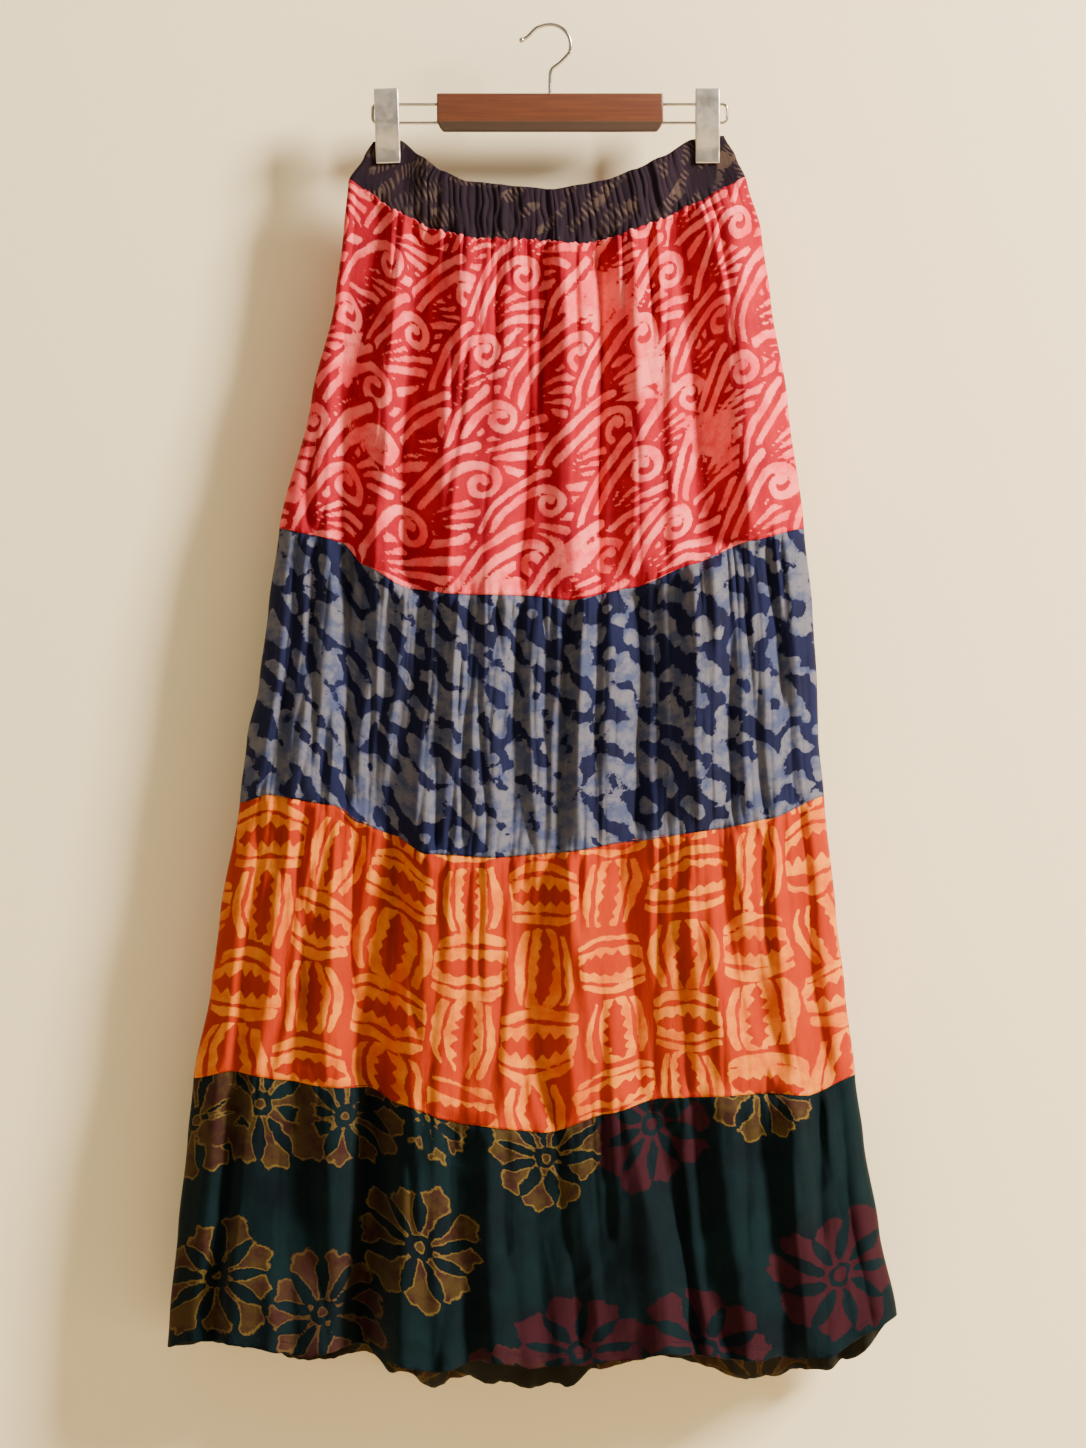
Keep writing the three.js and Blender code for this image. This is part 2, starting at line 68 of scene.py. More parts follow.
def softNoise(x, y, seed):
    i, j = np.floor(x), np.floor(y)
    s, t = x - i, y - j
    s, t = s * s * (3 - 2 * s), t * t * (3 - 2 * t)
    top = hashed(i, j, seed) * (1 - s) + hashed(i + 1, j, seed) * s
    low = hashed(i, j + 1, seed) * (1 - s) + hashed(i + 1, j + 1, seed) * s
    return (top * (1 - t) + low * t) * 2 - 1


def cloudy(x, y, seed, layers=3):
    total = 0
    for k in range(layers):
        total = total + softNoise(x * 2**k, y * 2**k, seed + k * 5.3) / 2**k
    return total / (2 - 2 / 2**layers)


# the skirt's sizes, in millimetres; drop is the distance below the hook's crown
# drop, left edge, right edge, depth in front, depth behind
tubeLevels = np.array(
    [
        (92, -146, 146, 5, 5),
        (110, -156, 156, 7, 6),
        (130, -169, 165, 9, 8),
        (172, -173, 177, 14, 12),
        (230, -180, 185, 21, 17),
        (314, -200, 199, 30, 23),
        (422, -227, 213, 36, 27),
        (488, -236, 220, 41, 30),
        (553, -244, 224, 43, 31),
        (597, -254, 225, 43, 31),
        (650, -260, 230, 44, 31),
        (749, -277, 240, 50, 34),
        (807, -284, 247, 51, 35),
        (883, -299, 256, 52, 35),
        (935, -304, 263, 57, 38),
        (1010, -312, 276, 60, 40),
        (1081, -319, 291, 62, 41),
        (1150, -324, 305, 64, 42),
    ],
    float,
)
# x and drop along each seam and edge
bandTop = np.array(
    [(-147, 97), (-125, 96), (-109, 109), (-91, 122), (-70, 131), (-19, 136), (2, 138)]
    + [(25, 134), (47, 130), (71, 121), (94, 110), (119, 95), (144, 92)],
    float,
)
waistSeam = np.array(
    [(-169, 128), (-155, 138), (-129, 157), (-96, 173), (-65, 180), (-7, 182), (26, 185)]
    + [(52, 180), (88, 166), (120, 151), (149, 135), (165, 126)],
    float,
)
seamOne = np.array(
    [(-227, 422), (-198, 428), (-174, 434), (-156, 453), (-118, 473), (-76, 478)]
    + [(-18, 479), (18, 483), (70, 472), (119, 453), (167, 433), (213, 422)],
    float,
)
seamTwo = np.array(
    [(-260, 652), (-236, 645), (-180, 654), (-160, 668), (-130, 679), (-104, 694)]
    + [(-45, 697), (8, 693), (66, 684), (139, 674), (184, 665), (230, 646)],
    float,
)
seamThree = np.array(
    [(-299, 883), (-268, 876), (-222, 883), (-187, 888), (-152, 890), (-128, 901)]
    + [(-75, 918), (-3, 926), (47, 910), (92, 897), (188, 894), (216, 896), (256, 880)],
    float,
)
frontHem = np.array(
    [(-321, 1109), (-304, 1102), (-268, 1102), (-205, 1113), (-165, 1104), (-128, 1116)]
    + [(-100, 1124), (-56, 1114), (-5, 1121), (55, 1115), (98, 1106), (149, 1113)]
    + [(227, 1114), (269, 1093), (292, 1082)],
    float,
)
backHem = np.array(
    [(-321, 1109), (-268, 1111), (-205, 1124), (-165, 1117), (-128, 1134), (-103, 1150)]
    + [(-70, 1139), (-11, 1149), (55, 1131), (98, 1122), (170, 1140), (223, 1134)]
    + [(261, 1119), (292, 1082)],
    float,
)
# long folds: place at the five levels, share of the depth at the hem, half width
foldLevels = [184, 470, 690, 920, 1130]
frontFolds = [
    ((-163, -199, -243, -262, -297), 0.2, 14),
    ((-150, -168, -190, -220, -214), 0.36, 14),
    ((-98, -111, -129, -150, -160), 0.95, 15),
    ((-61, -76, -85, -76, -67), 0.26, 16),
    ((-7, -20, -28, -14, -4), 0.36, 18),
    ((52, 68, 60, 37, 50), 0.26, 17),
    ((115, 150, 142, 184, 206), 0.85, 14),
    ((150, 186, 204, 226, 256), 0.24, 13),
]
backFolds = [
    ((-140, -182, -212, -246, -262), 0.3, 17),
    ((-84, -120, -138, -160, -176), 0.46, 18),
    ((-36, -52, -60, -78, -70), 0.26, 20),
    ((18, 10, 22, 14, 26), 0.44, 18),
    ((74, 92, 98, 112, 124), 0.28, 19),
    ((128, 162, 176, 196, 222), 0.42, 16),
]
foldStart = 130  # the drop at which the long folds begin
cloth = {"round": 2.6, "least": 0.27, "wall": 1.6, "gap": 0.3, "thick": 0.9}
# how far a lower piece is tucked behind its seam, how it swells out under it, and a usual height
seam = {"tuck": 2.0, "bandTuck": 1.3, "swell": 2.4, "waistSwell": 1.6, "usual": 250.0}
crumple = {"wide": 40, "tall": 52, "lean": 90}  # the size and slant of the soft crumples
# the hem's turn, its raised edge, its line of stitches, and how far it wavers in front and behind
hem = {"turn": 9.5, "raise": 0.45, "stitch": 9.2, "waver": {"front": 2.6, "back": 5.6}}
# the places of the two clips, how askew each hangs, and where its rod turns back
clips = {
    "left": {"x": -137.0, "lean": 1.8, "loop": -149.1},
    "right": {"x": 132.2, "lean": 0.0, "loop": 148.7},
}
# a clip holds the band flat over this half width, fading to each side and below this drop
grip = {"half": 13, "fade": 24, "below": 122, "reach": 46}


def eased(rows, at, column):
    # reads a table between its rows, half straight and half eased
    keys = rows[:, 0]
    i = np.clip(np.searchsorted(keys, at, side="left"), 1, len(keys) - 1)
    t = np.clip((at - keys[i - 1]) / (keys[i] - keys[i - 1]), 0, 1)
    low, high = rows[i - 1, column], rows[i, column]
    return low + (high - low) * (0.5 * t + 0.5 * ramp(t))


def foldShare(folds, x, drop, power):
    # the share of the depth that the long folds take away
    down = np.clip((drop - foldStart) / (foldLevels[-1] - foldStart), 0, 1)
    taken = 0
    for places, share, wide in folds:
        rows = np.array(list(zip(foldLevels, places)), float)
        i = np.clip(np.searchsorted(rows[:, 0], drop, side="left"), 1, 4)
        t = np.clip((drop - rows[i - 1, 0]) / (rows[i, 0] - rows[i - 1, 0]), 0, 1)
        centre = rows[i - 1, 1] + (rows[i, 1] - rows[i - 1, 1]) * ramp(t)
        across = np.abs(x - centre) / (wide * (0.85 + 0.35 * down))
        taken = taken + share * np.exp(-(across**power))
    most = 1 - cloth["least"]
    return most * np.tanh(taken * down**0.45 / most)


def pinch(x, drop):
    # 1 where a clip holds the cloth flat, 0 where it is free
    held = 0
    for clip in clips.values():
        beside = 1 - ramp((np.abs(x - clip["x"]) - grip["half"]) / grip["fade"])
        below = 1 - ramp((drop - grip["below"]) / grip["reach"])
        held = np.maximum(held, beside * below)
    return held


def gather(piece, seed, u, height):
    # even waves across the piece, of uneven width and height
    uneven = 0.013 * np.sin(6.1 * np.pi * u + seed) + 0.005 * np.sin(15 * np.pi * u + 2 * seed)
    size = 0.68 + 0.32 * np.sin(5.3 * np.pi * u + 1.7 * seed)
    turn = 2 * np.pi * (piece["waves"] * (u + uneven)) + 1.3 * seed
    return height * size * np.sin(turn + 0.35 * np.sin(turn))


def ridges(u, count, seed):
    # rounded ridges with sharp valleys, each of its own height; also gives each one's number
    turn = count * (u + 0.35 / count * softNoise(u * count * 0.9, u * 0, seed)) + seed
    number = np.floor(turn)
    return np.abs(np.sin(np.pi * turn)) ** 0.85 * (0.35 + hashed(number, 0, seed)), number


pieces = [
    {
        "name": "waistband",
        "slot": "band_cloth",
        "printWide": 333,
        "upper": bandTop,
        "lower": waistSeam,
        "rows": (0, 0.38, 0.7, 1),
        "waves": 18,
        "heights": (1.1, 1.3, 1.4, 1.2),
        "seed": 0,
        "cut": (0.46, 0.05),
        "grid": {"front": (440, 34), "back": (320, 24)},
        # number across one half, height, reach down from the top seam, reach up from the lower one
        "puckers": ((62, 1.5, 900, 900), (33, 1.0, 900, 900)),
        "crinkle": 0.25,
        "crumple": 0,
    },
    {
        "name": "tier1",
        "slot": "red_cloth",
        "printWide": 440,
        "upper": waistSeam,
        "lower": seamOne,
        "rows": (0, 0.16, 0.58, 1),
        "waves": 17,
        "heights": (1.7, 2.8, 2.2, 1.6),
        "seed": 1,
        "cut": (0.62, 0.315),
        "grid": {"front": (330, 108), "back": (230, 68)},
        "puckers": ((46, 3.4, 22, 3), (27, 3.2, 80, 12), (15, 2.4, 400, 60)),
        "crinkle": 0.35,
        "crumple": 0.9,
    },
    {
        "name": "tier2",
        "slot": "blue_cloth",
        "printWide": 490,
        "upper": seamOne,
        "lower": seamTwo,
        "rows": (0, 0.2, 0.62, 1),
        "waves": 18,
        "heights": (2, 3.6, 2.9, 1.8),
        "seed": 2,
        "cut": (0.76, 0.22),
        "grid": {"front": (400, 94), "back": (250, 58)},
        "puckers": ((84, 1.9, 60, 50), (48, 3.2, 110, 70), (24, 2.8, 400, 120)),
        "crinkle": 1.0,
        "crumple": 1.0,
    },
    {
        "name": "tier3",
        "slot": "orange_cloth",
        "printWide": 555,
        "upper": seamTwo,
        "lower": seamThree,
        "rows": (0, 0.2, 0.62, 1),
        "waves": 18,
        "heights": (2.2, 3.8, 3.2, 1.9),
        "seed": 3,
        "cut": (0.84, 0.24),
        "grid": {"front": (380, 96), "back": (260, 58)},
        "puckers": ((66, 2.6, 24, 9), (38, 3.0, 80, 30), (20, 2.6, 400, 100)),
        "crinkle": 0.6,
        "crumple": 1.0,
    },
    {
        "name": "tier4",
        "slot": "teal_cloth",
        "printWide": 600,
        "upper": seamThree,
        "lower": None,
        "rows": (0, 0.24, 0.62, 1),
        "waves": 14,
        "heights": (2.2, 3.4, 4, 5.4),
        "seed": 4,
        "cut": (0.90, 0.225),
        "grid": {"front": (380, 94), "back": (270, 58)},
        "puckers": ((54, 2.2, 20, 1), (31, 2.6, 70, 1), (16, 2.0, 400, 1)),
        "crinkle": 0.3,
        "crumple": 2.9,
    },
]

# creases, in mm: place across at the top, middle and bottom of the tier,
# where each starts and ends down it, height (below zero is a trough), reach to left and right
frontCreases = {
    "tier1": [
        (-160, -170, -174, 0, 1, -12, 10, 32),
        (-110, -120, -124, 0, 1, -12, 11, 26),
        (-20, -17, -23, 0, 1, -3.5, 12, 4),
        (40, 43, 38, 0, 1, -11, 14, 22),
        (55, 66, 69, 0, 1, 4, 10, 14),
        (108, 122, 124, 0, 1, -12, 16, 32),
        (126, 158, 166, 0, 1, 9, 22, 26),
        (170, 192, 205, 0, 0.8, -5, 9, 6),
        (-182, -197, -202, 0.25, 1, -5, 8, 6),
        (-80, -83, -86, 0, 0.5, -4.5, 8, 5),
        (-58, -60, -62, 0, 0.35, -3.5, 5, 4),
        (-44, -42, -41, 0, 0.25, -3, 5, 4),
        (-3, -6, -5, 0, 0.5, -6, 9, 4),
        (21, 22, 24, 0, 0.3, -3.5, 6, 4),
        (84, 86, 90, 0, 0.35, -4, 7, 5),
        (99, 98, 97, 0, 0.45, -4, 6, 4),
        (-137, -139, -141, 0, 0.4, -3, 5, 4),
        (-130, -141, -146, 0.1, 1, 3, 9, 12),
        (-66, -78, -84, 0.1, 1, 4, 24, 26),
        (14, 17, 20, 0, 1, 5, 16, 20),
        (150, 176, 190, 0, 1, 3, 10, 12),
    ],
    "tier2": [
        (-212, -218, -227, 0, 1, -5, 8, 6),
        (-173, -168, -171, 0, 1, -15, 10, 44),
        (-116, -119, -126, 0, 1, 5, 14, 10),
        (-77, -80, -85, 0, 0.62, 6, 9, 3),
        (-67, -71, -74, 0, 1, -4, 3, 12),
        (-25, -24, -13, 0.1, 1, -5, 12, 5),
        (18, 13, 8, 0, 1, -9, 18, 8),
        (71, 76, 69, 0, 1, -17, 14, 52),
        (141, 137, 136, 0, 1, 9, 30, 12),
        (183, 193, 204, 0, 0.6, -8, 12, 5),
        (164, 168, 181, 0.2, 1, -4, 8, 5),
        (-92, -93, -96, 0, 1, -3, 5, 4),
        (-59, -57, -52, 0, 0.8, -3, 5, 3),
        (-42, -40, -37, 0, 0.6, -3, 5, 4),
        (-4, -5, -6, 0, 0.5, -3, 4, 3),
        (42, 40, 38, 0, 0.7, -3.5, 5, 4),
        (88, 90, 90, 0, 0.8, -3, 6, 4),
        (109, 108, 107, 0, 0.8, -3, 5, 4),
        (-196, -197, -200, 0, 0.9, -4, 6, 4),
        (-150, -150, -152, 0, 0.8, -3, 6, 4),
        (210, 216, 222, 0.1, 1, -4, 6, 5),
    ],
    "tier3": [
        (-242, -252, -262, 0, 1, -5, 8, 6),
        (-203, -206, -193, 0, 1, -6, 12, 8),
        (-166, -164, -160, 0, 1, -15, 12, 34),
        (-130, -132, -143, 0, 1, -6, 5, 6),
        (-82, -81, -78, 0, 1, 6, 26, 12),
        (2, -8, 5, 0, 1, -9, 12, 16),
        (13, 29, 46, 0, 0.85, 4, 8, 6),
        (56, 68, 78, 0, 1, -14, 18, 58),
        (146, 156, 190, 0, 1, 10, 36, 14),
        (210, 220, 235, 0, 1, -6, 10, 8),
        (-59, -57, -55, 0, 0.5, -3, 5, 4),
        (-34, -30, -28, 0, 0.4, -3, 5, 4),
        (25, 24, 22, 0, 0.35, -4, 5, 4),
        (38, 37, 34, 0, 0.3, -3, 4, 4),
        (92, 92, 90, 0, 0.5, -3, 6, 4),
        (112, 110, 112, 0, 0.6, -3, 6, 5),
        (-118, -112, -105, 0, 0.7, -4, 8, 5),
        (-176, -172, -170, 0, 0.8, -4, 8, 5),
        (-225, -224, -230, 0, 0.6, -3, 6, 5),
        (182, 184, 190, 0, 0.5, -4, 6, 4),
    ],
    "tier4": [
        (-258, -270, -282, 0, 1, -7, 12, 8),
        (-210, -197, -185, 0, 1, -7, 16, 14),
        (-150, -153, -160, 0, 1, -15, 16, 26),
        (-82, -84, -92, 0, 1, -4, 10, 8),
        (5, 15, 29, 0, 1, -7, 14, 12),
        (80, 106, 120, 0, 1, -15, 16, 54),
        (198, 206, 213, 0, 1, 9, 34, 14),
        (242, 252, 270, 0, 1, -7, 10, 8),
        (-118, -116, -112, 0, 0.5, -4, 8, 6),
        (-40, -36, -30, 0, 0.6, -3, 8, 6),
        (45, 50, 56, 0, 0.5, -3, 6, 5),
        (120, 128, 136, 0, 0.8, -4, 10, 8),
        (160, 165, 172, 0, 0.6, -3, 8, 6),
        (224, 228, 236, 0, 0.6, -3, 6, 5),
    ],
}
# the lower edge behind is crumpled in two places
backHemCreases = [
    (-128, -126, -124, 0.72, 1.1, -7, 6, 5),
    (-112, -113, -115, 0.78, 1.1, 8, 6, 5),
    (-100, -100, -99, 0.75, 1.1, -7, 5, 5),
    (-88, -87, -85, 0.8, 1.1, 7, 5, 6),
    (-74, -74, -76, 0.78, 1.1, -6, 5, 5),
    (128, 129, 130, 0.8, 1.1, -6, 6, 5),
    (150, 152, 155, 0.78, 1.1, 7, 8, 6),
    (186, 188, 190, 0.76, 1.1, -6, 7, 6),
    (222, 224, 228, 0.8, 1.1, 6, 7, 6),
]


def creaseHeight(creases, x, v, mirrored):
    # the hidden side has the same kind of creases, in other places
    total = 0
    for top, middle, bottom, start, end, height, left, right in creases:
        if mirrored:
            top, middle, bottom = (-0.93 * place + 11 for place in (top, middle, bottom))
        t = v - 0.5
        path = middle + (bottom - top) * t + 2 * (top + bottom - 2 * middle) * t * t
        across = x - path + 1.2 * np.sin(9 * v + top)
        near = np.clip(1 - np.abs(across) / (1.35 * np.where(across < 0, left, right)), 0, 1)
        ends = ramp((v - start + 0.1) / 0.16) * ramp((end - v + 0.1) / 0.2)
        total = total + height * ends * near**1.4 * (1.4 - 0.4 * near)
    return 1.6 * total


def ownRaise(piece, facing, u, v, x, high):
    # how far the cloth stands out from its tube, from gathers, puckers and creases
    seed = piece["seed"] + (0.6 if facing < 0 else 2.9)
    raised = gather(piece, seed, u, np.interp(v, piece["rows"], piece["heights"]))
    below, above = v * high, (1 - v) * high
    for k, (count, height, reach, rise) in enumerate(piece["puckers"]):
        bend = 0.35 / count * softNoise(u * count * 0.5, v * 3 + k, seed + 9 + k)
        shape, number = ridges(u + bend, count, seed + 3.1 * k)
        own = 0.45 + 1.1 * hashed(number, 4, seed + k)
        fade = np.exp(-below / (reach * own)) + 0.7 * np.exp(-above / (rise * own))
        raised = raised + height * (shape - 0.45) * np.minimum(fade, 1)
    raised = raised + creaseHeight(frontCreases.get(piece["name"], []), x, v, facing > 0)
    if facing > 0 and piece["lower"] is None:
        raised = raised + creaseHeight(backHemCreases, x, v, False)
    across, down = x / crumple["wide"] + v * high / crumple["lean"], v * high / crumple["tall"]
    ridge = 1 - 2.2 * np.abs(cloudy(across, down, seed + 31, 2))
    raised = raised + piece["crumple"] * ridge
    return raised + piece["crinkle"] * cloudy(x / 9, v * high / 46, seed + 20)


def sewnRaise(index, facing, u, v, x, high):
    # the same, with each piece brought to its neighbour's line where they are sewn together
    piece = pieces[index]
    raised = ownRaise(piece, facing, u, v, x, high)
    for other, at, reach in ((index - 1, 0, 5), (index + 1, 1, 9)):
        if 0 <= other < len(pieces):
            theirs = ownRaise(pieces[other], facing, u, 1 - at + 0 * v, x, seam["usual"])
            ours = ownRaise(piece, facing, u, at + 0 * v, x, high)
            distance = np.abs(v - at) * high
            raised = raised + 0.5 * (theirs - ours) * np.exp(-((distance / reach) ** 2))
    return raised


def halfTube(index, facing, u, v):
    # middle surface of one half of one piece: x, away from the middle plane, drop
    piece = pieces[index]
    last = piece["lower"] is None
    lower = (frontHem if facing < 0 else backHem) if last else piece["lower"]
    folds = frontFolds if facing < 0 else backFolds
    x = -160 + 320 * u + 0 * v
    for _ in range(7):  # x and drop settle on each other
        top, end = eased(piece["upper"], x, 1), eased(lower, x, 1)
        drop = top * (1 - v) + end * v
        left, right = eased(tubeLevels, drop, 1), eased(tubeLevels, drop, 2)
        x = left + (right - left) * u
    high = end - top
    s = np.abs(2 * u - 1) + 0 * v
    turn = np.sqrt(np.clip(1 - s ** cloth["round"], 0, None))
    held = pinch(x, drop)
    loose = 1 - held if index == 0 else 1 - 0.8 * held
    room = eased(tubeLevels, drop, 3 if facing < 0 else 4) * turn * loose
    room = room * (1 - foldShare(folds, x, drop, 1.7))
    raised = sewnRaise(index, facing, u, v, x, high)
    calm = ramp((1 - s) / 0.12) * loose
    if last:
        # the worn lower edge wavers, more behind than in front
        waver = hem["waver"]["front" if facing < 0 else "back"] * cloudy(x / 17, v * 0, 5.5 + facing)
        drop = drop + waver * ramp((v - 0.82) / 0.18) * calm
    below, above = v * high, (1 - v) * high
    if index:
        # gathered cloth swells out just under its seam
        raised = raised + seam["swell" if index > 1 else "waistSwell"] * np.exp(-(((below - 11) / 9) ** 2))
    if index == 1:
        # the red gathers bulge out and up over the band's edge
        crest = ridges(u, 62, piece["seed"])[0] * 0.7 + ridges(u, 33, 2.2)[0] * 0.5 - 0.3
        raised = raised + (1.0 + 1.6 * crest) * np.exp(-below / 5)
        drop = drop - 2.6 * crest * np.exp(-np.abs(below) / 6) * calm
    turned = np.clip((1 - s) / 0.012, 0, 1)
    least = cloth["gap"] / 2 + cloth["wall"] / 2 * turned
    away = np.maximum(least, least + room + raised * calm)
    # the lower piece is tucked up behind the one above it, and the band behind the red tier
    tucked = seam["tuck"] * ramp((2.4 - below) / 3.6) if index > 1 else 0
    if index == 0:
        tucked = seam["bandTuck"] * ramp((1.0 - above) / 3.0)
    if last:
        # the hem is turned up once
        away = away + hem["raise"] * ramp((hem["turn"] - above) / 1.2) * calm
    away = away - np.minimum(tucked, 0.7 * (away - least * 0.5))
    return x, away, drop


# prints: each gives a field whose zero line is the edge of the lighter dye, and a tone
def bezier(points, steps):
    t = np.linspace(0, 1, steps)[:, None]
    p0, p1, p2, p3 = (np.array(p, float) for p in points)
    return (1 - t) ** 3 * p0 + 3 * t * (1 - t) ** 2 * p1 + 3 * t * t * (1 - t) * p2 + t**3 * p3


def strokeField(x, y, path, halves):
    # how far inside a drawn stroke each place lies, in mm
    best = np.full(x.shape, -99.0)
    for (x0, y0), (x1, y1), h0, h1 in zip(path[:-1], path[1:], halves[:-1], halves[1:]):
        dx, dy = x1 - x0, y1 - y0
        t = np.clip(((x - x0) * dx + (y - y0) * dy) / (dx * dx + dy * dy + 1e-9), 0, 1)
        best = np.maximum(best, h0 + (h1 - h0) * t - np.hypot(x - x0 - t * dx, y - y0 - t * dy))
    return best


def paintOver(field, x, y, path, halves, gap, reach=12):
    # a new stroke with a bare gap round it, over what is already there
    low, high = path.min(0) - reach, path.max(0) + reach
    near = (x > low[0]) & (x < high[0]) & (y > low[1]) & (y < high[1])
    if near.any():
        new = strokeField(x[near], y[near], path, halves)
        field[near] = np.maximum(np.minimum(field[near], -new - gap), new)


curlShape = {"middle": (44, 46), "start": 132, "turns": 1.17, "outer": 17.4, "shrink": 12.6}


def crestStrokes(pick):
    # one motif: a fan of lines from a root, under a long stem that breaks into a curl like a wave
    strokes = []
    fan = ((92, 40, 0.98), (94, 20, 0.72), (84, 2, 0.44), (66, -14, 0.16))
    for number, (endX, endY, lean) in enumerate(fan if pick < 0.6 else fan[:3]):
        long = math.hypot(endX, endY)
        first = (long * 0.4 * math.cos(lean), long * 0.4 * math.sin(lean))
        bends = [first, (endX * 0.72 - 3, endY * 0.72 + 9)]
        line = bezier([(3, -1 - 1.5 * number), *bends, (endX, endY)], 14)
        strokes.append((line, np.linspace(2.8, 4.2, 14)))
    t = np.linspace(0, 1, 30)
    around = math.radians(curlShape["start"]) - t * 2 * math.pi * curlShape["turns"]
    radius = curlShape["outer"] - curlShape["shrink"] * t**0.85
    curl = np.array(curlShape["middle"]) + np.stack([radius * np.cos(around), radius * np.sin(around)], 1)
    stem = bezier([(-6, -8), (-4, 18), curl[0] + (-16, -12), curl[0]], 14)
    halves = np.concatenate([np.linspace(2.6, 4.0, 13), np.linspace(4.0, 3.1, 26), (3.4, 3.9, 4.3, 4.4)])
    strokes.append((np.concatenate([stem[:-1], curl]), halves))
    if pick > 0.3:
        over = bezier([(-16, 0), (-12, 28), (8, 64), (34, 77)], 12)
        strokes.append((over, np.linspace(2.4, 4.0, 12)))
    return strokes


# where the pale dye has run together on the red tier: across, down, half width, half height
washed = [(52, 50, 54, 28), (92, 124, 34, 40), (150, 206, 30, 40), (-192, 150, 16, 44)]
washed += [(20, 276, 24, 18)]


# spacing of the motifs, the bare gap round a stroke, and the pitch and length of the lines behind
scroll = {"across": 73, "down": 59, "gap": 4.4, "pitch": 14.6, "long": 110, "lean": 46}


def scrollPrint(a, b):
    # wave crests with curls, over long lines that run up to the right
    x = a + 5 * cloudy(a / 40, b / 40, 1.4)
    y = -b + 5 * cloudy(a / 40, b / 40, 6.4)
    size, lean = scroll, math.radians(scroll["lean"])
    along = x * math.cos(lean) + y * math.sin(lean)
    sway = 9 * np.sin(along / 38 + 1.5 * cloudy(x / 140, y / 140, 3.3, 2))
    across = -x * math.sin(lean) + y * math.cos(lean) + sway
    line = np.floor(across / size["pitch"])
    part = (along / size["long"] + hashed(line, 0, 4.2)) % 1
    ends = np.clip(np.minimum(part, 1 - part) * 9, 0, 1) ** 0.6
    field = 3.8 * ends - np.abs(across - (line + 0.5) * size["pitch"])
    for j in range(-1, 8):
        for i in range(-6, 7):
            pick = hashed(i, j, 5.5)
            cx = (i + 0.5 * (j % 2) + 0.26 * (hashed(i, j, 3.1) - 0.5)) * size["across"] - 30
            cy = -(j + 0.3 * (hashed(i, j, 8.7) - 0.5)) * size["down"] - 30
            turn = 0.5 * (hashed(i, j, 1.9) - 0.5)
            big = 0.84 + 0.24 * hashed(i, j, 7.3)
            c, d = math.cos(turn) * big, math.sin(turn) * big
            for path, halves in crestStrokes(pick):
                path = path @ np.array([[c, d], [-d, c]]) + (cx, cy)
                paintOver(field, x, y, path, halves * (0.75 + 0.25 * big), size["gap"])
    smear = ramp(cloudy(a / 95 + 0.3, b / 70, 2.2) * 2.1 - 0.42)
    for cx, cy, wide, high in washed:
        near = 1 - np.hypot((a - cx) / wide, (b - cy) / high) + 0.9 * cloudy(a / 16, b / 20, 8.3)
        smear = np.maximum(smear, 0.85 * ramp(near * 1.3))
    return field / 3.2 + smear + 0.25 * cloudy(a / 6, b / 6, 9.1), smear


# distance between chains, between blots in a chain, a blot's radius and the chains' lean
dapple = {"row": 21.5, "step": 12.6, "blot": 7.0, "lean": 48}


def dapplePrint(a, b):
    # lumpy blots strung in chains that run down to the right
    x = a + 8 * cloudy(a / 50, b / 50, 1.3)
    y = b + 8 * cloudy(a / 50, b / 50, 4.9)
    size, lean = dapple, math.radians(dapple["lean"])
    along = x * math.cos(lean) + y * math.sin(lean)
    across = -x * math.sin(lean) + y * math.cos(lean)
    i0, j0 = np.floor(along / size["step"]), np.floor(across / size["row"])
    total = 0
    for dj in (-1, 0, 1):
        for di in (-2, -1, 0, 1, 2):
            i, j = i0 + di, j0 + dj
            cx = (i + 0.5 + 0.5 * (j % 2) + 0.7 * (hashed(i, j, 1.0) - 0.5)) * size["step"]
            cy = (j + 0.5 + 0.3 * (hashed(i, j, 2.0) - 0.5)) * size["row"]
            blot = size["blot"] * (0.62 + 0.75 * hashed(i, j, 3.0))
            total = total + np.exp(-(((along - cx) ** 2 + (across - cy) ** 2) / blot**2))
    smear = ramp(cloudy(a / 90 + 5, b / 60, 6.6) * 1.8 - 0.35)
    rough = 0.46 * cloudy(a / 6.5, b / 6.5, 3.3, 2) + 0.16 * cloudy(a / 26, b / 26, 7.7)
    return 2 * (total - 0.5 + rough) + 0.9 * smear, smear


# size of a husk in mm, then its parts as shares of half of it
basket = {"cell": 64.0, "sway": 15, "wobble": 3, "bow": 0.3, "soft": 0.07}
basket.update({"tooth": 0.065, "teeth": 2.9, "core": 0.27, "inner": 0.53, "outer": 0.79, "band": 0.135})


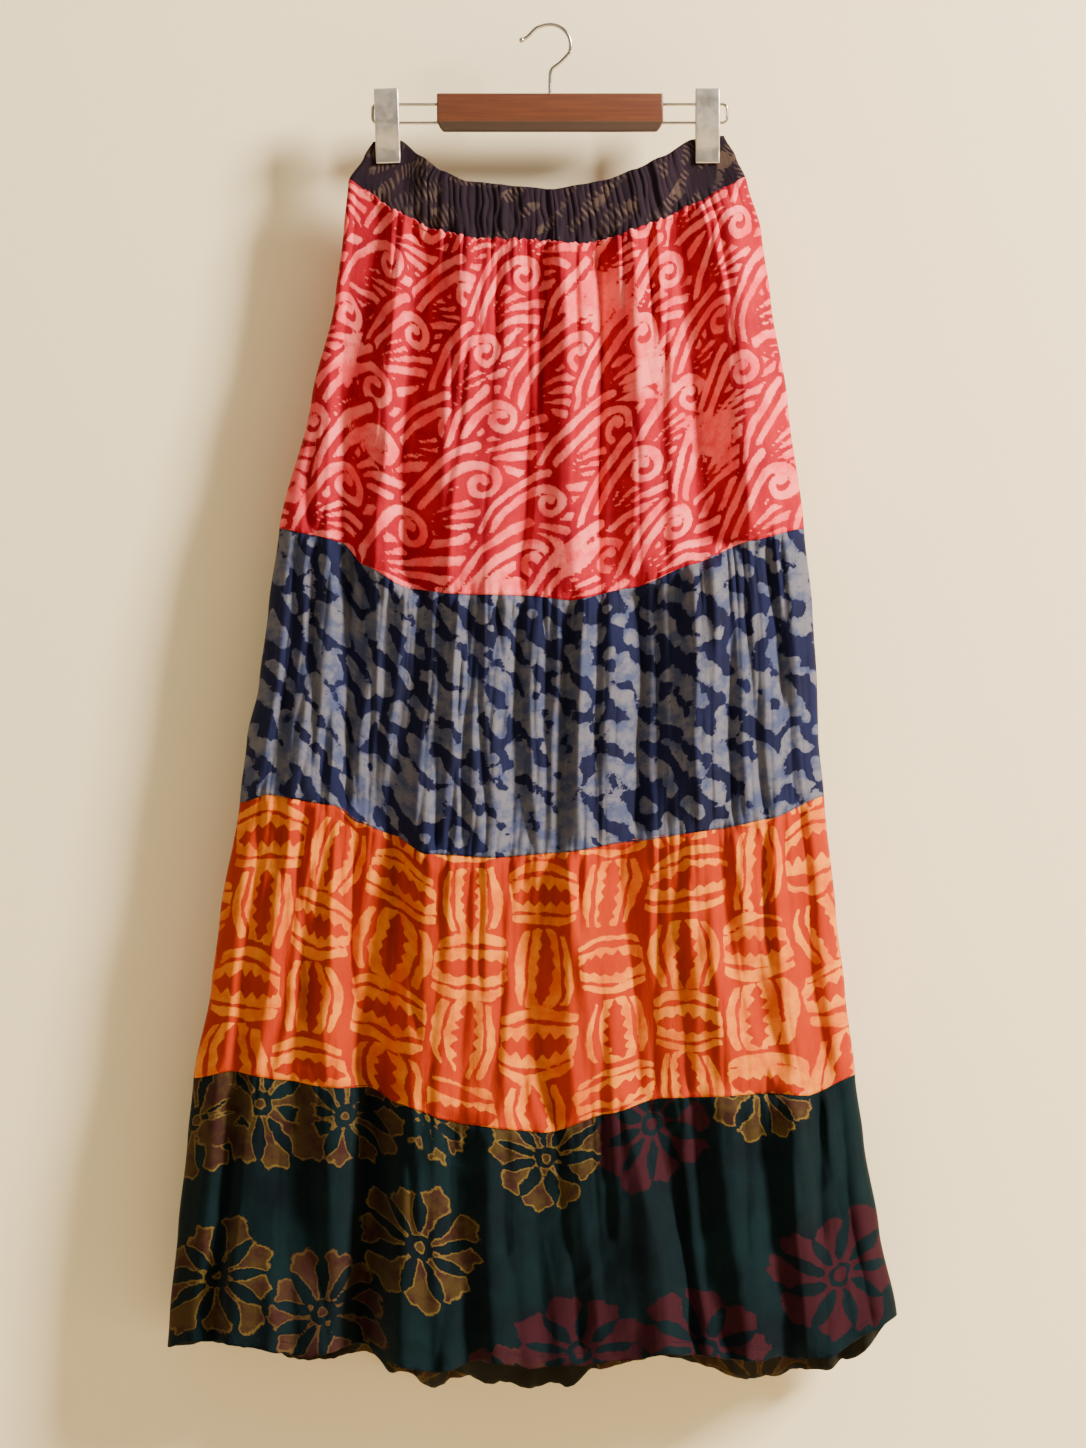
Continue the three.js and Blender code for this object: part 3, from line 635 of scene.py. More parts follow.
def basketPrint(a, b):
    # husks laid now across and now upright: a toothed core between bowed bands
    cell, sway, wobble, soft = basket["cell"], basket["sway"], basket["wobble"], basket["soft"]
    x = a + sway * cloudy(a / 85, b / 85, 2.8, 2) + wobble * cloudy(a / 16, b / 16, 1.8) + 20
    y = b + sway * cloudy(a / 85, b / 85, 7.8, 2) + wobble * cloudy(a / 16, b / 16, 5.8) - 6
    i, j = np.floor(x / cell), np.floor(y / cell)
    s = (x - (i + 0.5) * cell) / (cell / 2)
    t = (y - (j + 0.5) * cell) / (cell / 2)
    turned = ((i + j) % 2) > 0.5
    long, short = np.where(turned, t, s), np.where(turned, s, t)
    ring = np.abs(short) * (0.9 + 0.24 * hashed(i, j, 9.1)) / (1 - basket["bow"] * long * long)
    teeth = basket["tooth"] * (4 * np.abs((long * basket["teeth"]) % 1 - 0.5) - 1)
    teeth = teeth * (0.8 + hashed(i, j, 4.4)) * (np.abs(long) < 0.8)
    core = basket["core"] * np.sqrt(np.clip(1 - (long / 0.95) ** 2, 0, 1)) + teeth
    inner = np.minimum((ring - core) / soft, (basket["inner"] - ring) / soft)
    inner = np.minimum(inner, (1.0 - np.abs(long)) / 0.05)
    outer = (basket["band"] - np.abs(ring - basket["outer"])) / soft
    outer = np.minimum(outer, (0.94 - np.abs(long)) / 0.06)
    value = np.maximum(inner, outer)
    smear = ramp(cloudy(a / 110 + 2, b / 90, 3.7) * 1.8 - 0.35)
    bare = ramp(cloudy(a / 60 + 7, b / 80, 1.9) * 2.2 - 0.7)
    return value + 0.6 * cloudy(a / 8, b / 8, 5.2) + smear - 1.6 * bare, smear


# centre across and down in mm, radius, petals, turn, and 1 for mustard or 0 for maroon
frontRosettes = [
    (-292, 36, 50, 9, 0.3, 1),
    (-236, 22, 52, 9, 0.9, 0.7),
    (-160, 24, 46, 10, 0.2, 0.6),
    (-92, 118, 53, 9, 0.5, 1),
    (-86, 4, 34, 9, 0.1, 0.8),
    (18, 24, 50, 10, 0.7, 1),
    (112, 22, 50, 9, 0.1, 0.2),
    (212, -8, 48, 9, 0.9, 0.8),
    (-262, 170, 50, 9, 0.6, 0.7),
    (-172, 190, 48, 10, 0.1, 0.5),
    (36, 214, 52, 9, 0.4, 0.1),
    (138, 220, 50, 9, 0.8, 0.0),
    (258, 162, 54, 9, 0.2, 0.0),
    (-20, 250, 40, 9, 0.2, 0.3),
]
# the same kind behind, in other places
backRosettes = [
    (-(x * 0.97) - 14, (y + 70) % 230 - 10, radius, petals, turn + 0.3, warm)
    for x, y, radius, petals, turn, warm in frontRosettes
]
backRosettes += [(-104, 236, 46, 9, 0.2, 0.9), (176, 232, 46, 9, 0.6, 0.5)]
rosettes = {"front": frontRosettes, "back": backRosettes}


# rim, slits and heart as shares of the radius; widths of slit and heart ring in mm
flowerShape = {"rim": 0.76, "uneven": 0.14, "lobes": 0.2, "slitFrom": 0.22, "slitTo": 0.84}
flowerShape.update({"slit": 5.4, "heart": 0.15, "heartRing": 2.4})


def rosettePrint(a, b, side):
    # round flowers with slits between their petals
    value, tint, shape = -1.0 + 0 * a, 0 * a, flowerShape
    for cx, cy, radius, petals, turn, warm in rosettes[side]:
        dx, dy = a - cx, b - cy
        around = np.arctan2(dy, dx)
        r = np.hypot(dx, dy) * (1 + 0.06 * np.sin(3 * around + cx) + 0.03 * np.sin(5 * around + cy))
        angle = around + turn + 0.06 * np.sin(2 * around + cy)
        number = np.round(petals * angle / (2 * np.pi))
        own = hashed(number, cx, 3.0)
        lobes = shape["lobes"] * np.abs(np.cos(petals * angle / 2)) ** 0.6
        rim = radius * (shape["rim"] + shape["uneven"] * own + lobes)
        rim = rim + 1.3 * np.sin(19 * angle + cx) + 0.8 * np.sin(31 * angle)
        flower = (rim - r) / 5
        shifted = angle + np.pi / petals
        swing = np.abs(np.arccos(np.clip(np.cos(petals * shifted), -1, 1)) / petals)
        inner, outer = shape["slitFrom"] * radius, (shape["slitTo"] + 0.1 * own) * radius
        bulge = np.sin(np.clip((r - inner) / (outer - inner), 0, 1) * np.pi) ** 0.7
        wide = shape["slit"] + 1.6 * cloudy(a / 9, b / 9, 4.7, 2)
        slit = np.where((r > inner) & (r < outer), wide * bulge - swing * r, -9)
        heart = np.abs(r - shape["heart"] * radius) - shape["heartRing"]
        value = np.maximum(value, np.minimum(flower, np.minimum(-slit / 3, heart / 3)))
        tint = np.where(flower > -0.6, warm, tint)
    return value + 0.6 * cloudy(a / 6, b / 6, 6.1) + 0.6 * cloudy(a / 20, b / 20, 2.1), tint


def bandPrint(a, b):
    # sprays of narrow leaves and ladder lines
    x, y = a + 5 * cloudy(a / 25, b / 25, 1.1), b + 5 * cloudy(a / 25, b / 25, 6.1)
    leaf = np.cos(2 * np.pi * (x * 0.8 + y * 0.9 + 9 * np.sin(x / 21)) / 26)
    vein = np.abs(((x * 0.9 - y * 0.55) / 4.6) % 1 - 0.5) * 2
    lines = 1 - vein * 2.4
    mask = cloudy(a / 22, b / 17, 3.2) * 1.5 + 0.55 * leaf - 0.2
    solid = (cloudy(a / 13, b / 9, 8.4) - 0.28) * 5
    return np.minimum(np.maximum(lines, solid), mask * 2.2), mask


printOf = {
    "waistband": bandPrint,
    "tier1": scrollPrint,
    "tier2": dapplePrint,
    "tier3": basketPrint,
}


# meshes
def addMesh(name, points, faces, values=None, cut=None, smooth=True):
    # values are numbers at each point for the materials, and cut is the place on the flat cloth
    mesh = bpy.data.meshes.new(name)
    faces = np.asarray(faces, np.int32)
    corners = faces.shape[1]
    mesh.vertices.add(len(points))
    mesh.vertices.foreach_set("co", np.asarray(points, np.float32).ravel())
    mesh.loops.add(faces.size)
    mesh.loops.foreach_set("vertex_index", faces.ravel())
    mesh.polygons.add(len(faces))
    mesh.polygons.foreach_set("loop_start", np.arange(0, faces.size, corners, dtype=np.int32))
    mesh.polygons.foreach_set("use_smooth", np.full(len(faces), smooth))
    if cut is not None:
        layer = mesh.uv_layers.new(name="cut")
        layer.data.foreach_set("uv", np.asarray(cut, np.float32)[faces.ravel()].ravel())
    for label, value in (values or {}).items():
        layer = mesh.attributes.new(label, "FLOAT", "POINT")
        layer.data.foreach_set("value", np.asarray(value, np.float32))
    mesh.update(calc_edges=True)
    mesh.validate()
    made = bpy.data.objects.new(name, mesh)
    scene.collection.objects.link(made)
    return made


def gridFaces(rows, columns, start=0, flip=False):
    r, c = np.meshgrid(np.arange(rows - 1), np.arange(columns - 1), indexing="ij")
    a = (start + r * columns + c).ravel()
    quads = np.stack([a, a + columns, a + columns + 1, a + 1], 1)
    return quads[:, ::-1] if flip else quads


def strip(a, b, flip=False):
    # quads between two rows of points
    quads = np.stack([a[:-1], b[:-1], b[1:], a[1:]], 1)
    return quads[:, ::-1] if flip else quads


def normalsOf(place):
    across = np.gradient(place, axis=1)
    down = np.gradient(place, axis=0)
    normal = np.cross(down, across)
    return normal / np.maximum(np.linalg.norm(normal, axis=2, keepdims=True), 1e-9)


def shell(name, place, outward, thick, values, cut):
    # a closed thin wall round a grid of places; outward is 1 or -1, for the side that shows
    rows, columns = place.shape[:2]
    normal = normalsOf(place) * outward
    outer = place + normal * thick / 2
    inner = place - normal * thick / 2
    points = np.concatenate([outer.reshape(-1, 3), inner.reshape(-1, 3)])
    half = rows * columns
    flip = outward < 0
    index = np.arange(half).reshape(rows, columns)
    faces = [gridFaces(rows, columns, 0, flip), gridFaces(rows, columns, half, not flip)]
    faces.append(strip(index[0], index[0] + half, not flip))
    faces.append(strip(index[-1], index[-1] + half, flip))
    faces.append(strip(index[:, 0], index[:, 0] + half, flip))
    faces.append(strip(index[:, -1], index[:, -1] + half, not flip))
    doubled = {label: np.concatenate([v.ravel(), v.ravel()]) for label, v in values.items()}
    doubled["inside"] = np.concatenate([np.zeros(half), np.ones(half)])
    return addMesh(name, points * 0.001, np.concatenate(faces), doubled, np.concatenate([cut, cut]) * 0.001)


def clothPiece(index, side):
    # one half of a piece, with its print
    piece = pieces[index]
    facing = -1 if side == "front" else 1
    columns, rows = piece["grid"][side]
    w = np.linspace(0, 1, columns + 1)
    u = (0.86 * w + 0.14 * (0.5 - 0.5 * np.cos(np.pi * w)))[None, :]
    first, last = (-0.007 if index > 1 else 0), (1.05 if index == 0 else 1)
    v = np.linspace(first, last, rows + 1)[:, None]
    x, away, drop = halfTube(index, facing, u, v)
    place = np.stack([x, facing * away, -drop], 2)
    a = (u - 0.5) * piece["printWide"] + 0 * v
    b = np.broadcast_to((v - 0 * u) * piece["cut"][1] * 1000, a.shape)
    if piece["name"] == "tier4":
        value, tone = rosettePrint(a, b, side)
    else:
        shifted = a if side == "front" else a * 0.98 + 217
        value, tone = printOf[piece["name"]](shifted, b)
    cut = np.stack([a.ravel(), b.ravel()], 1)
    values = {"dye": value, "tone": tone}
    made = shell(f"{piece['name']}_{side}_cloth", place, -facing, cloth["thick"], values, cut)
    return made, place


# materials
class Nodes:
    # a short way to write a node tree
    def __init__(self, name):
        self.material = bpy.data.materials.new(name)
        self.material.use_nodes = True
        self.tree = self.material.node_tree
        self.shader = self.tree.nodes["Principled BSDF"]

    def add(self, kind, inputs=None, **settings):
        node = self.tree.nodes.new(kind)
        for key, value in settings.items():
            setattr(node, key, value)
        for key, value in (inputs or {}).items():
            self.put(node.inputs[key], value)
        return node

    def put(self, socket, value):
        if isinstance(value, bpy.types.NodeSocket):
            self.tree.links.new(value, socket)
        else:
            socket.default_value = value

    def math(self, what, a, b=0.0, c=0.0):
        return self.add("ShaderNodeMath", {0: a, 1: b, 2: c}, operation=what).outputs[0]

    def mix(self, factor, a, b, how="MIX"):
        node = self.add("ShaderNodeMix", data_type="RGBA", blend_type=how)
        self.put(node.inputs[0], factor)
        self.put(node.inputs[6], a)
        self.put(node.inputs[7], b)
        return node.outputs[2]

    def span(self, value, low, high, to=(0.0, 1.0)):
        # eased from low to high
        inputs = {0: value, 1: low, 2: high, 3: to[0], 4: to[1]}
        return self.add("ShaderNodeMapRange", inputs, interpolation_type="SMOOTHSTEP").outputs[0]

    def noise(self, where, scale, detail=3.0, rough=0.5):
        inputs = {"Vector": where, "Scale": scale, "Detail": detail, "Roughness": rough}
        return self.add("ShaderNodeTexNoise", inputs).outputs[0]

    def stretched(self, where, scale):
        return self.add("ShaderNodeMapping", {"Vector": where, "Scale": scale}).outputs[0]

    def attribute(self, name):
        return self.add("ShaderNodeAttribute", attribute_name=name).outputs[2]

    def set(self, **values):
        for key, value in values.items():
            self.put(self.shader.inputs[key.replace("_", " ")], value)


def colour(red, green, blue):
    # screen colours, 0 to 255, as light
    def light(value):
        value = value / 255
        return value / 12.92 if value <= 0.04045 else ((value + 0.055) / 1.055) ** 2.4

    return (light(red), light(green), light(blue), 1.0)


# the two sets of threads: how fine, how much they darken, wear, the bump, and how pale the reverse is
weave = {"scale": 420.0, "shade": 0.12, "wear": 0.34, "bump": 0.55, "reverse": 0.28}


def printedCloth(name, look):
    # two dyes on plain weave cotton
    n = Nodes(name)
    cut = n.add("ShaderNodeUVMap", uv_map="cut").outputs[0]
    place = n.add("ShaderNodeTexCoord").outputs["Object"]
    dye, tone = n.attribute("dye"), n.attribute("tone")
    frayed = n.math("SUBTRACT", n.noise(cut, 420, 4.0, 0.6), 0.5)
    frayed = n.math("MULTIPLY_ADD", frayed, look["fray"], dye)
    light = n.span(frayed, -look["edge"], look["edge"])
    rim = n.span(frayed, -0.05, look["rim"])
    rim = n.math("MULTIPLY", rim, n.span(frayed, look["rim"] * 2.6, look["rim"]))
    clouds = n.noise(cut, look["cloudScale"], 5.0, 0.6)
    fine = n.noise(cut, 900, 3.0, 0.6)
    ground = n.mix(n.span(clouds, 0.32, 0.68), look["ground"], look["groundToo"])
    blotches = n.noise(cut, look["blotchScale"], 4.0, 0.6)
    figure = n.mix(n.span(blotches, 0.6, 0.38), look["figure"], look["figureToo"])
    figure = n.mix(n.math("MULTIPLY", rim, look["rimShare"]), figure, look["rimColour"])
    spots = n.span(n.noise(cut, 160, 2.0, 0.5), 0.66, 0.72)
    figure = n.mix(n.math("MULTIPLY", spots, look["spots"]), figure, look["ground"])
    if "other" in look:
        figure = n.mix(n.span(tone, 0.2, 0.75), look["other"], figure)
    colours = n.mix(light, ground, figure)
    crackle = n.add("ShaderNodeTexVoronoi", {"Vector": cut, "Scale": 75.0}, feature="DISTANCE_TO_EDGE")
    cracks = n.span(crackle.outputs["Distance"], 0.02, 0.0)
    cracks = n.math("MULTIPLY", cracks, n.span(n.noise(cut, 26, 2.0), 0.5, 0.7))
    colours = n.mix(n.math("MULTIPLY", cracks, look["cracks"]), colours, look["ground"])
    worn = n.math("MULTIPLY_ADD", n.math("SUBTRACT", fine, 0.5), weave["wear"], 1.0)
    warp = n.add("ShaderNodeTexWave", {"Vector": cut, "Scale": weave["scale"]}, bands_direction="X")
    weft = n.add("ShaderNodeTexWave", {"Vector": cut, "Scale": weave["scale"]}, bands_direction="Y")
    threads = n.math("MULTIPLY", warp.outputs[1], weft.outputs[1])
    grain = n.math("MULTIPLY_ADD", threads, weave["shade"], n.math("SUBTRACT", worn, 0.03))
    combined = n.add("ShaderNodeCombineColor", {0: grain, 1: grain, 2: grain}).outputs[0]
    colours = n.mix(1.0, colours, combined, "MULTIPLY")
    faded = n.mix(weave["reverse"], colours, look["figure"])  # the paler reverse of the print
    colours = n.mix(n.attribute("inside"), colours, faded)
    n.set(Base_Color=colours, Roughness=look["rough"], Sheen_Weight=0.02, Sheen_Roughness=0.5)
    n.set(Specular_IOR_Level=look["gloss"])
    slubs = n.noise(n.stretched(cut, (1.0, 0.16, 1.0)), 260, 4.0, 0.6)
    crinkle = n.noise(n.stretched(cut, (1.0, 0.22, 1.0)), look["crinkleScale"], 3.0, 0.55)
    broad = n.noise(place, 60, 2.0, 0.5)
    height = n.math("MULTIPLY", crinkle, look["crinkle"])
    height = n.math("ADD", height, n.math("MULTIPLY", slubs, 0.25))
    height = n.math("ADD", height, n.math("MULTIPLY", broad, 0.25))
    height = n.math("ADD", height, n.math("MULTIPLY", threads, 0.1))
    bump = n.add("ShaderNodeBump", {"Height": height, "Strength": weave["bump"], "Distance": 0.0016})
    n.set(Normal=bump.outputs[0])
    return n.material


plain = {
    "fray": 0.8,
    "edge": 0.07,
    "rim": 0.16,
    "rimShare": 0.3,
    "cloudScale": 22,
    "blotchScale": 34,
    "spots": 0.15,
    "cracks": 0.35,
    "rough": 0.85,
    "gloss": 0.12,
    "crinkle": 0.9,
    "crinkleScale": 130,
}
looks = {
    "waistband": {
        **plain,
        "ground": colour(33, 19, 28),
        "groundToo": colour(26, 15, 23),
        "figure": colour(74, 57, 47),
        "figureToo": colour(54, 41, 39),
        "rimColour": colour(44, 34, 38),
        "fray": 1.2,
        "edge": 0.25,
    },
    "tier1": {
        **plain,
        "ground": colour(164, 8, 30),
        "groundToo": colour(138, 2, 26),
        "figure": colour(238, 106, 102),
        "figureToo": colour(222, 64, 72),
        "rimColour": colour(200, 22, 26),
        "crinkle": 0.7,
    },
    "tier2": {
        **plain,
        "ground": colour(19, 22, 52),
        "groundToo": colour(14, 15, 38),
        "figure": colour(96, 93, 99),
        "figureToo": colour(62, 67, 90),
        "blotchScale": 60,
        "rimColour": colour(48, 56, 90),
        "spots": 0.5,
        "fray": 1.0,
        "crinkle": 1.2,
    },
    "tier3": {
        **plain,
        "ground": colour(160, 41, 0),
        "groundToo": colour(150, 32, 0),
        "figure": colour(214, 118, 22),
        "figureToo": colour(196, 88, 4),
        "rimColour": colour(184, 54, 0),
        "fray": 0.9,
        "crinkle": 1.1,
    },
    "tier4": {
        **plain,
        "ground": colour(5, 13, 17),
        "groundToo": colour(6, 24, 26),
        "figure": colour(62, 46, 20),
        "figureToo": colour(48, 25, 19),
        "rimColour": colour(104, 84, 38),
        "blotchScale": 42,
        "other": colour(46, 16, 22),
        "gloss": 0.06,
        "rim": 0.24,
        "rimShare": 0.75,
        "spots": 0.3,
        "fray": 1.0,
        "crinkle": 0.7,
        "cloudScale": 12,
    },
}

# cloth
surfaces = {}
for index, piece in enumerate(pieces):
    material = printedCloth(piece["name"], looks[piece["name"]])
    for side in ("front", "back"):
        made, place = clothPiece(index, side)
        made.data.materials.append(material)
        surfaces[piece["name"], side] = place
        node = f"{piece['name']}_{side}"
        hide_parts(node)
        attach(made, "root")
    print("cloth", piece["name"])


# hem stitches
def stitches(name, place, outward, above, size, material):
    # a row of short stitches this far above the lower edge of a grid of places, in mm
    drop = np.linalg.norm(place[-1] - place[0], axis=1)
    steps = place.shape[0] - 1
    at = np.clip((1 - above / drop) * steps, 0, steps - 1e-6)
    low = at.astype(int)
    part = (at - low)[:, None]
    columns = np.arange(place.shape[1])
    line = place[low, columns] * (1 - part) + place[low + 1, columns] * part
    normal = normalsOf(place)[low, columns] * outward
    length = np.concatenate([[0], np.cumsum(np.linalg.norm(np.diff(line, axis=0), axis=1))])
    starts = np.arange(3, length[-1] - 3, size["pitch"])
    points, faces = [], []
    for number, start in enumerate(starts):
        ends = [start, start + size["long"] * (0.9 + 0.2 * hashed(number, 1, 2.0))]
        path = [np.array([np.interp(s, length, line[:, k]) for k in range(3)]) for s in ends]
        out = np.array([np.interp(start, length, normal[:, k]) for k in range(3)])
        along = (path[1] - path[0]) / np.linalg.norm(path[1] - path[0])
        side = np.cross(out, along) * size["wide"] / 2
        middle = (path[0] + path[1]) / 2
        base = len(points)
        lift = out * cloth["thick"] / 2
        for end, share in ((path[0], 0.05), (middle, 0.28), (path[1], 0.05)):
            points += [end + side + lift, end + lift + out * share]
            points += [end - side + lift, end + lift - out * 0.1]
        for ring in (base, base + 4):
            for k in range(4):
                after = (k + 1) % 4
                faces.append((ring + k, ring + after, ring + 4 + after, ring + 4 + k))
        faces += [(base + 3, base + 2, base + 1, base), (base + 8, base + 9, base + 10, base + 11)]
    made = addMesh(name, np.array(points) * 0.001, faces)
    made.data.materials.append(material)
    return made


stitch = {"pitch": 3.6, "long": 2.7, "wide": 0.5}
thread = Nodes("thread")
thread.set(Base_Color=colour(9, 18, 21), Roughness=0.9, Specular_IOR_Level=0.1)
for side, outward in (("front", 1), ("back", -1)):
    place = surfaces["tier4", side]
    made = stitches(f"hem_stitches_{side}", place, outward, hem["stitch"], stitch, thread.material)
    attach(made, "root")
print("stitches")


# hanger, in mm
hanger = {"wire": 3.3, "round": 17.3, "rod": 2.6, "upper": -65.5, "lower": -81.0, "inside": 20.0}
hanger.update({"bend": 4, "straight": 30})
tip = {"at": (-23.9, 0, -11.5), "ahead": (-0.89, 0, -0.45), "round": 2.35, "rings": 14}
stem = [(0, 0, -74), (0, 0, -58), (0, 0, -45), (1.2, 0, -36.5), (8.6, 0, -30.2)]
hookEnd = [(-10.4, 0, -0.9), (-14.3, 0, -3.9), (-17.4, 0, -7.3), (-20.3, 0, -9.7), tip["at"]]
# level rings from the top: height, half length, half depth, corner
barRings = [(-57, 93.6, 6.6, 1.2), (-57.15, 94.4, 7.4, 1.3), (-57.6, 94.85, 7.85, 1.5)]
barRings += [(-58.3, 95, 8, 1.6), (-79.8, 95, 8, 1.6), (-80.5, 94.9, 7.8, 1.6), (-81.2, 94.5, 7.3, 1.6)]
barRings += [(-85, 92.6, 5.2, 1.6), (-87.6, 90.6, 3.9, 1.5), (-88.3, 89.8, 3.4, 1.3)]
barRings += [(-88.6, 88.8, 2.8, 1.2)]
blockRings = [(-59.6, 6.4, 6.6, 0.8), (-60.2, 7, 7.2, 0.8), (-85.4, 7, 7.2, 0.8), (-86, 6.4, 6.6, 0.8)]
padRings = [(-104, 8.7, 0.6, 0.3), (-104.4, 8.95, 0.65, 0.3)]
padRings += [(-114.6, 8.95, 0.65, 0.3), (-115, 8.7, 0.6, 0.3)]
padMiddle = 2.7  # how far a pad's middle stands off the cloth's middle plane


def ringFaces(rings, sides):
    # quads between neighbouring closed rings of points, and a cap of quads over each end
    index = np.arange(rings * sides).reshape(rings, sides)
    closed = np.concatenate([index, index[:, :1]], 1)
    quads = np.stack([closed[:-1, :-1], closed[:-1, 1:], closed[1:, 1:], closed[1:, :-1]], -1)
    ends = []
    for loop in (index[0], index[-1][::-1]):
        ends += [(loop[k], loop[-k - 1], loop[-k - 2], loop[k + 1]) for k in range(sides // 2 - 1)]
    return np.concatenate([quads.reshape(-1, 4), np.array(ends)])


def wireMesh(name, path, radii, sides=28):
    # a round wire along a path in the plane y = 0
    path = np.asarray(path, float)
    radii = np.broadcast_to(np.asarray(radii, float), len(path))
    along = np.gradient(path, axis=0)
    along /= np.linalg.norm(along, axis=1, keepdims=True)
    up = np.array([0.0, 1.0, 0.0])
    out = np.cross(up, along)
    turn = np.linspace(0, 2 * np.pi, sides, endpoint=False)
    ring = out[:, None, :] * np.cos(turn)[None, :, None] + up * np.sin(turn)[None, :, None]
    points = (path[:, None, :] + ring * radii[:, None, None]).reshape(-1, 3)
    return addMesh(name, points * 0.001, ringFaces(len(path), sides))


def smoothPath(points, steps):
    # a soft curve through every point
    points = np.asarray(points, float)
    ends = [2 * points[0] - points[1], *points, 2 * points[-1] - points[-2]]
    made = []
    for p0, p1, p2, p3 in zip(ends[:-3], ends[1:-2], ends[2:-1], ends[3:]):
        for t in np.linspace(0, 1, steps, endpoint=False):
            made.append(
                0.5 * (2 * p1 + (p2 - p0) * t + (2 * p0 - 5 * p1 + 4 * p2 - p3) * t**2)
                + 0.5 * (3 * p1 - 3 * p2 + p3 - p0) * t**3
            )
    return np.array([*made, points[-1]])


def roundedLoop(halfX, halfY, corner, steps=6):
    # a rectangle with round corners, counted from its right side
    loop = []
    for k, (sx, sy) in enumerate(((1, 1), (-1, 1), (-1, -1), (1, -1))):
        middle = np.array([sx * (halfX - corner), sy * (halfY - corner)])
        for t in np.linspace(0, np.pi / 2, steps):
            angle = k * np.pi / 2 + t
            loop.append(middle + (corner * math.cos(angle), corner * math.sin(angle)))
    return np.array(loop)


def stackMesh(name, rings, centre=(0, 0)):
    # level rings, each a rounded rectangle: height, half length, half depth, corner
    loops = []
    for z, halfX, halfY, corner in rings:
        loop = roundedLoop(halfX, halfY, corner)
        loops.append(np.column_stack([loop + centre, np.full(len(loop), z)]))
    faces = ringFaces(len(rings), len(loops[0]))[:, ::-1]
    return addMesh(name, np.concatenate(loops) * 0.001, faces)


def leaned(made, clip):
    # the left clip hangs a little askew on its rods
    turn = math.radians(clip["lean"])
    middle = (hanger["upper"] + hanger["lower"]) / 2 * 0.001
    c, d = math.cos(turn), math.sin(turn)
    for vertex in made.data.vertices:
        x, z = vertex.co.x - clip["x"] * 0.001, vertex.co.z - middle
        vertex.co.x = clip["x"] * 0.001 + c * x - d * z
        vertex.co.z = middle + d * x + c * z
    return made


# one jaw: half width, sheet, bend, how near it comes to the middle, and its side view from the top
jaw = {"wide": 10.25, "sheet": 1.0, "bend": 1.0, "reach": 2.4, "top": -52.5, "bottom": -115.5}
jaw["line"] = [
    *((2.6, -52.55), (5.6, -52.5), (6.5, -52.7), (6.9, -53.2), (7.0, -53.6), (8.2, -56.8)),
    *((8.5, -62), (8.5, -74), (8.5, -85), (8.1, -88.5), (6.9, -95), (5.3, -101)),
    *((4.7, -104.5), (4.65, -109), (4.65, -114.3), (4.5, -115.1), (3.9, -115.45), (2.6, -115.5)),
]


def jawMesh(name, clip, facing):
    # sheet metal with both long sides folded in and the ends turned down
    wide, sheet, bend, reach = jaw["wide"], jaw["sheet"], jaw["bend"], jaw["reach"]
    rings = []
    for y, z in jaw["line"]:
        end = min(1, max(0, y - reach) / 1.6)  # 0 where the sheet is turned down at its ends
        half = wide - 0.6 * (1 - ramp(min(z - jaw["bottom"], jaw["top"] - z) / 0.9))
        outer = [(-half, reach), (-half, max(reach + 0.05, y - bend))]
        for t in np.linspace(0.2, 1, 5) * np.pi / 2:
            outer.append((-half + bend * (1 - math.cos(t)), y - bend * end * (1 - math.sin(t))))
        outer += [(-half + bend + 0.35, y), (0, y)]
        outer += [(-px, py) for px, py in outer[-2::-1]]
        inner = [(px * (1 - sheet / wide), max(reach, py - sheet * end)) for px, py in outer[::-1]]
        rings.append([(px, facing * py, z) for px, py in outer + inner])
    points = np.array(rings).reshape(-1, 3) + (clip["x"], 0, 0)
    faces = ringFaces(len(rings), len(rings[0]))
    return leaned(addMesh(name, points * 0.001, faces if facing < 0 else faces[:, ::-1]), clip)


def metalLook(name, tint, rough, brushed):
    n = Nodes(name)
    place = n.add("ShaderNodeTexCoord").outputs["Object"]
    lines = n.noise(n.stretched(place, brushed), 900, 3.0, 0.6)
    marks = n.noise(place, 55, 4.0, 0.6)
    worn = n.span(marks, 0.35, 0.7, (rough * 0.82, rough * 1.25))
    tints = n.mix(n.span(marks, 0.3, 0.7), tint, tuple(c * 0.88 for c in tint[:3]) + (1.0,))
    bump = n.add("ShaderNodeBump", {"Height": lines, "Strength": 0.25, "Distance": 0.0002})
    n.set(Base_Color=tints, Metallic=1.0, Roughness=worn, Normal=bump.outputs[0])
    return n.material


def woodLook():
    n = Nodes("bar_wood")
    place = n.add("ShaderNodeTexCoord").outputs["Object"]
    warped = n.noise(n.stretched(place, (3, 30, 30)), 2.0, 3.0)
    bands = n.add("ShaderNodeMapping", {"Vector": place, "Scale": (6.0, 150.0, 150.0)}).outputs[0]
    grain = n.noise(bands, 3.2, 6.0, 0.65)
    pores = n.noise(n.stretched(place, (16, 420, 420)), 5.0, 3.0, 0.7)
    base = n.mix(n.span(grain, 0.3, 0.72), colour(80, 41, 22), colour(100, 54, 28))
    base = n.mix(n.math("MULTIPLY", n.span(pores, 0.56, 0.72), 0.55), base, colour(48, 24, 15))
    base = n.mix(n.math("MULTIPLY", warped, 0.3), base, colour(94, 44, 24))
    # the wood is darker from 80.2 mm below the hook's crown down, over the bar's rounded lower edge and
    # underside
    height = n.add("ShaderNodeSeparateXYZ", {0: place}).outputs[2]
    base = n.mix(n.span(height, -0.0802, -0.0814, (0.0, 0.8)), base, colour(44, 27, 19))
    bump = n.add("ShaderNodeBump", {"Height": pores, "Strength": 0.12, "Distance": 0.0004})
    n.set(Base_Color=base, Roughness=0.42, Specular_IOR_Level=0.45, Normal=bump.outputs[0])
    n.set(Coat_Weight=0.25, Coat_Roughness=0.25)
    return n.material


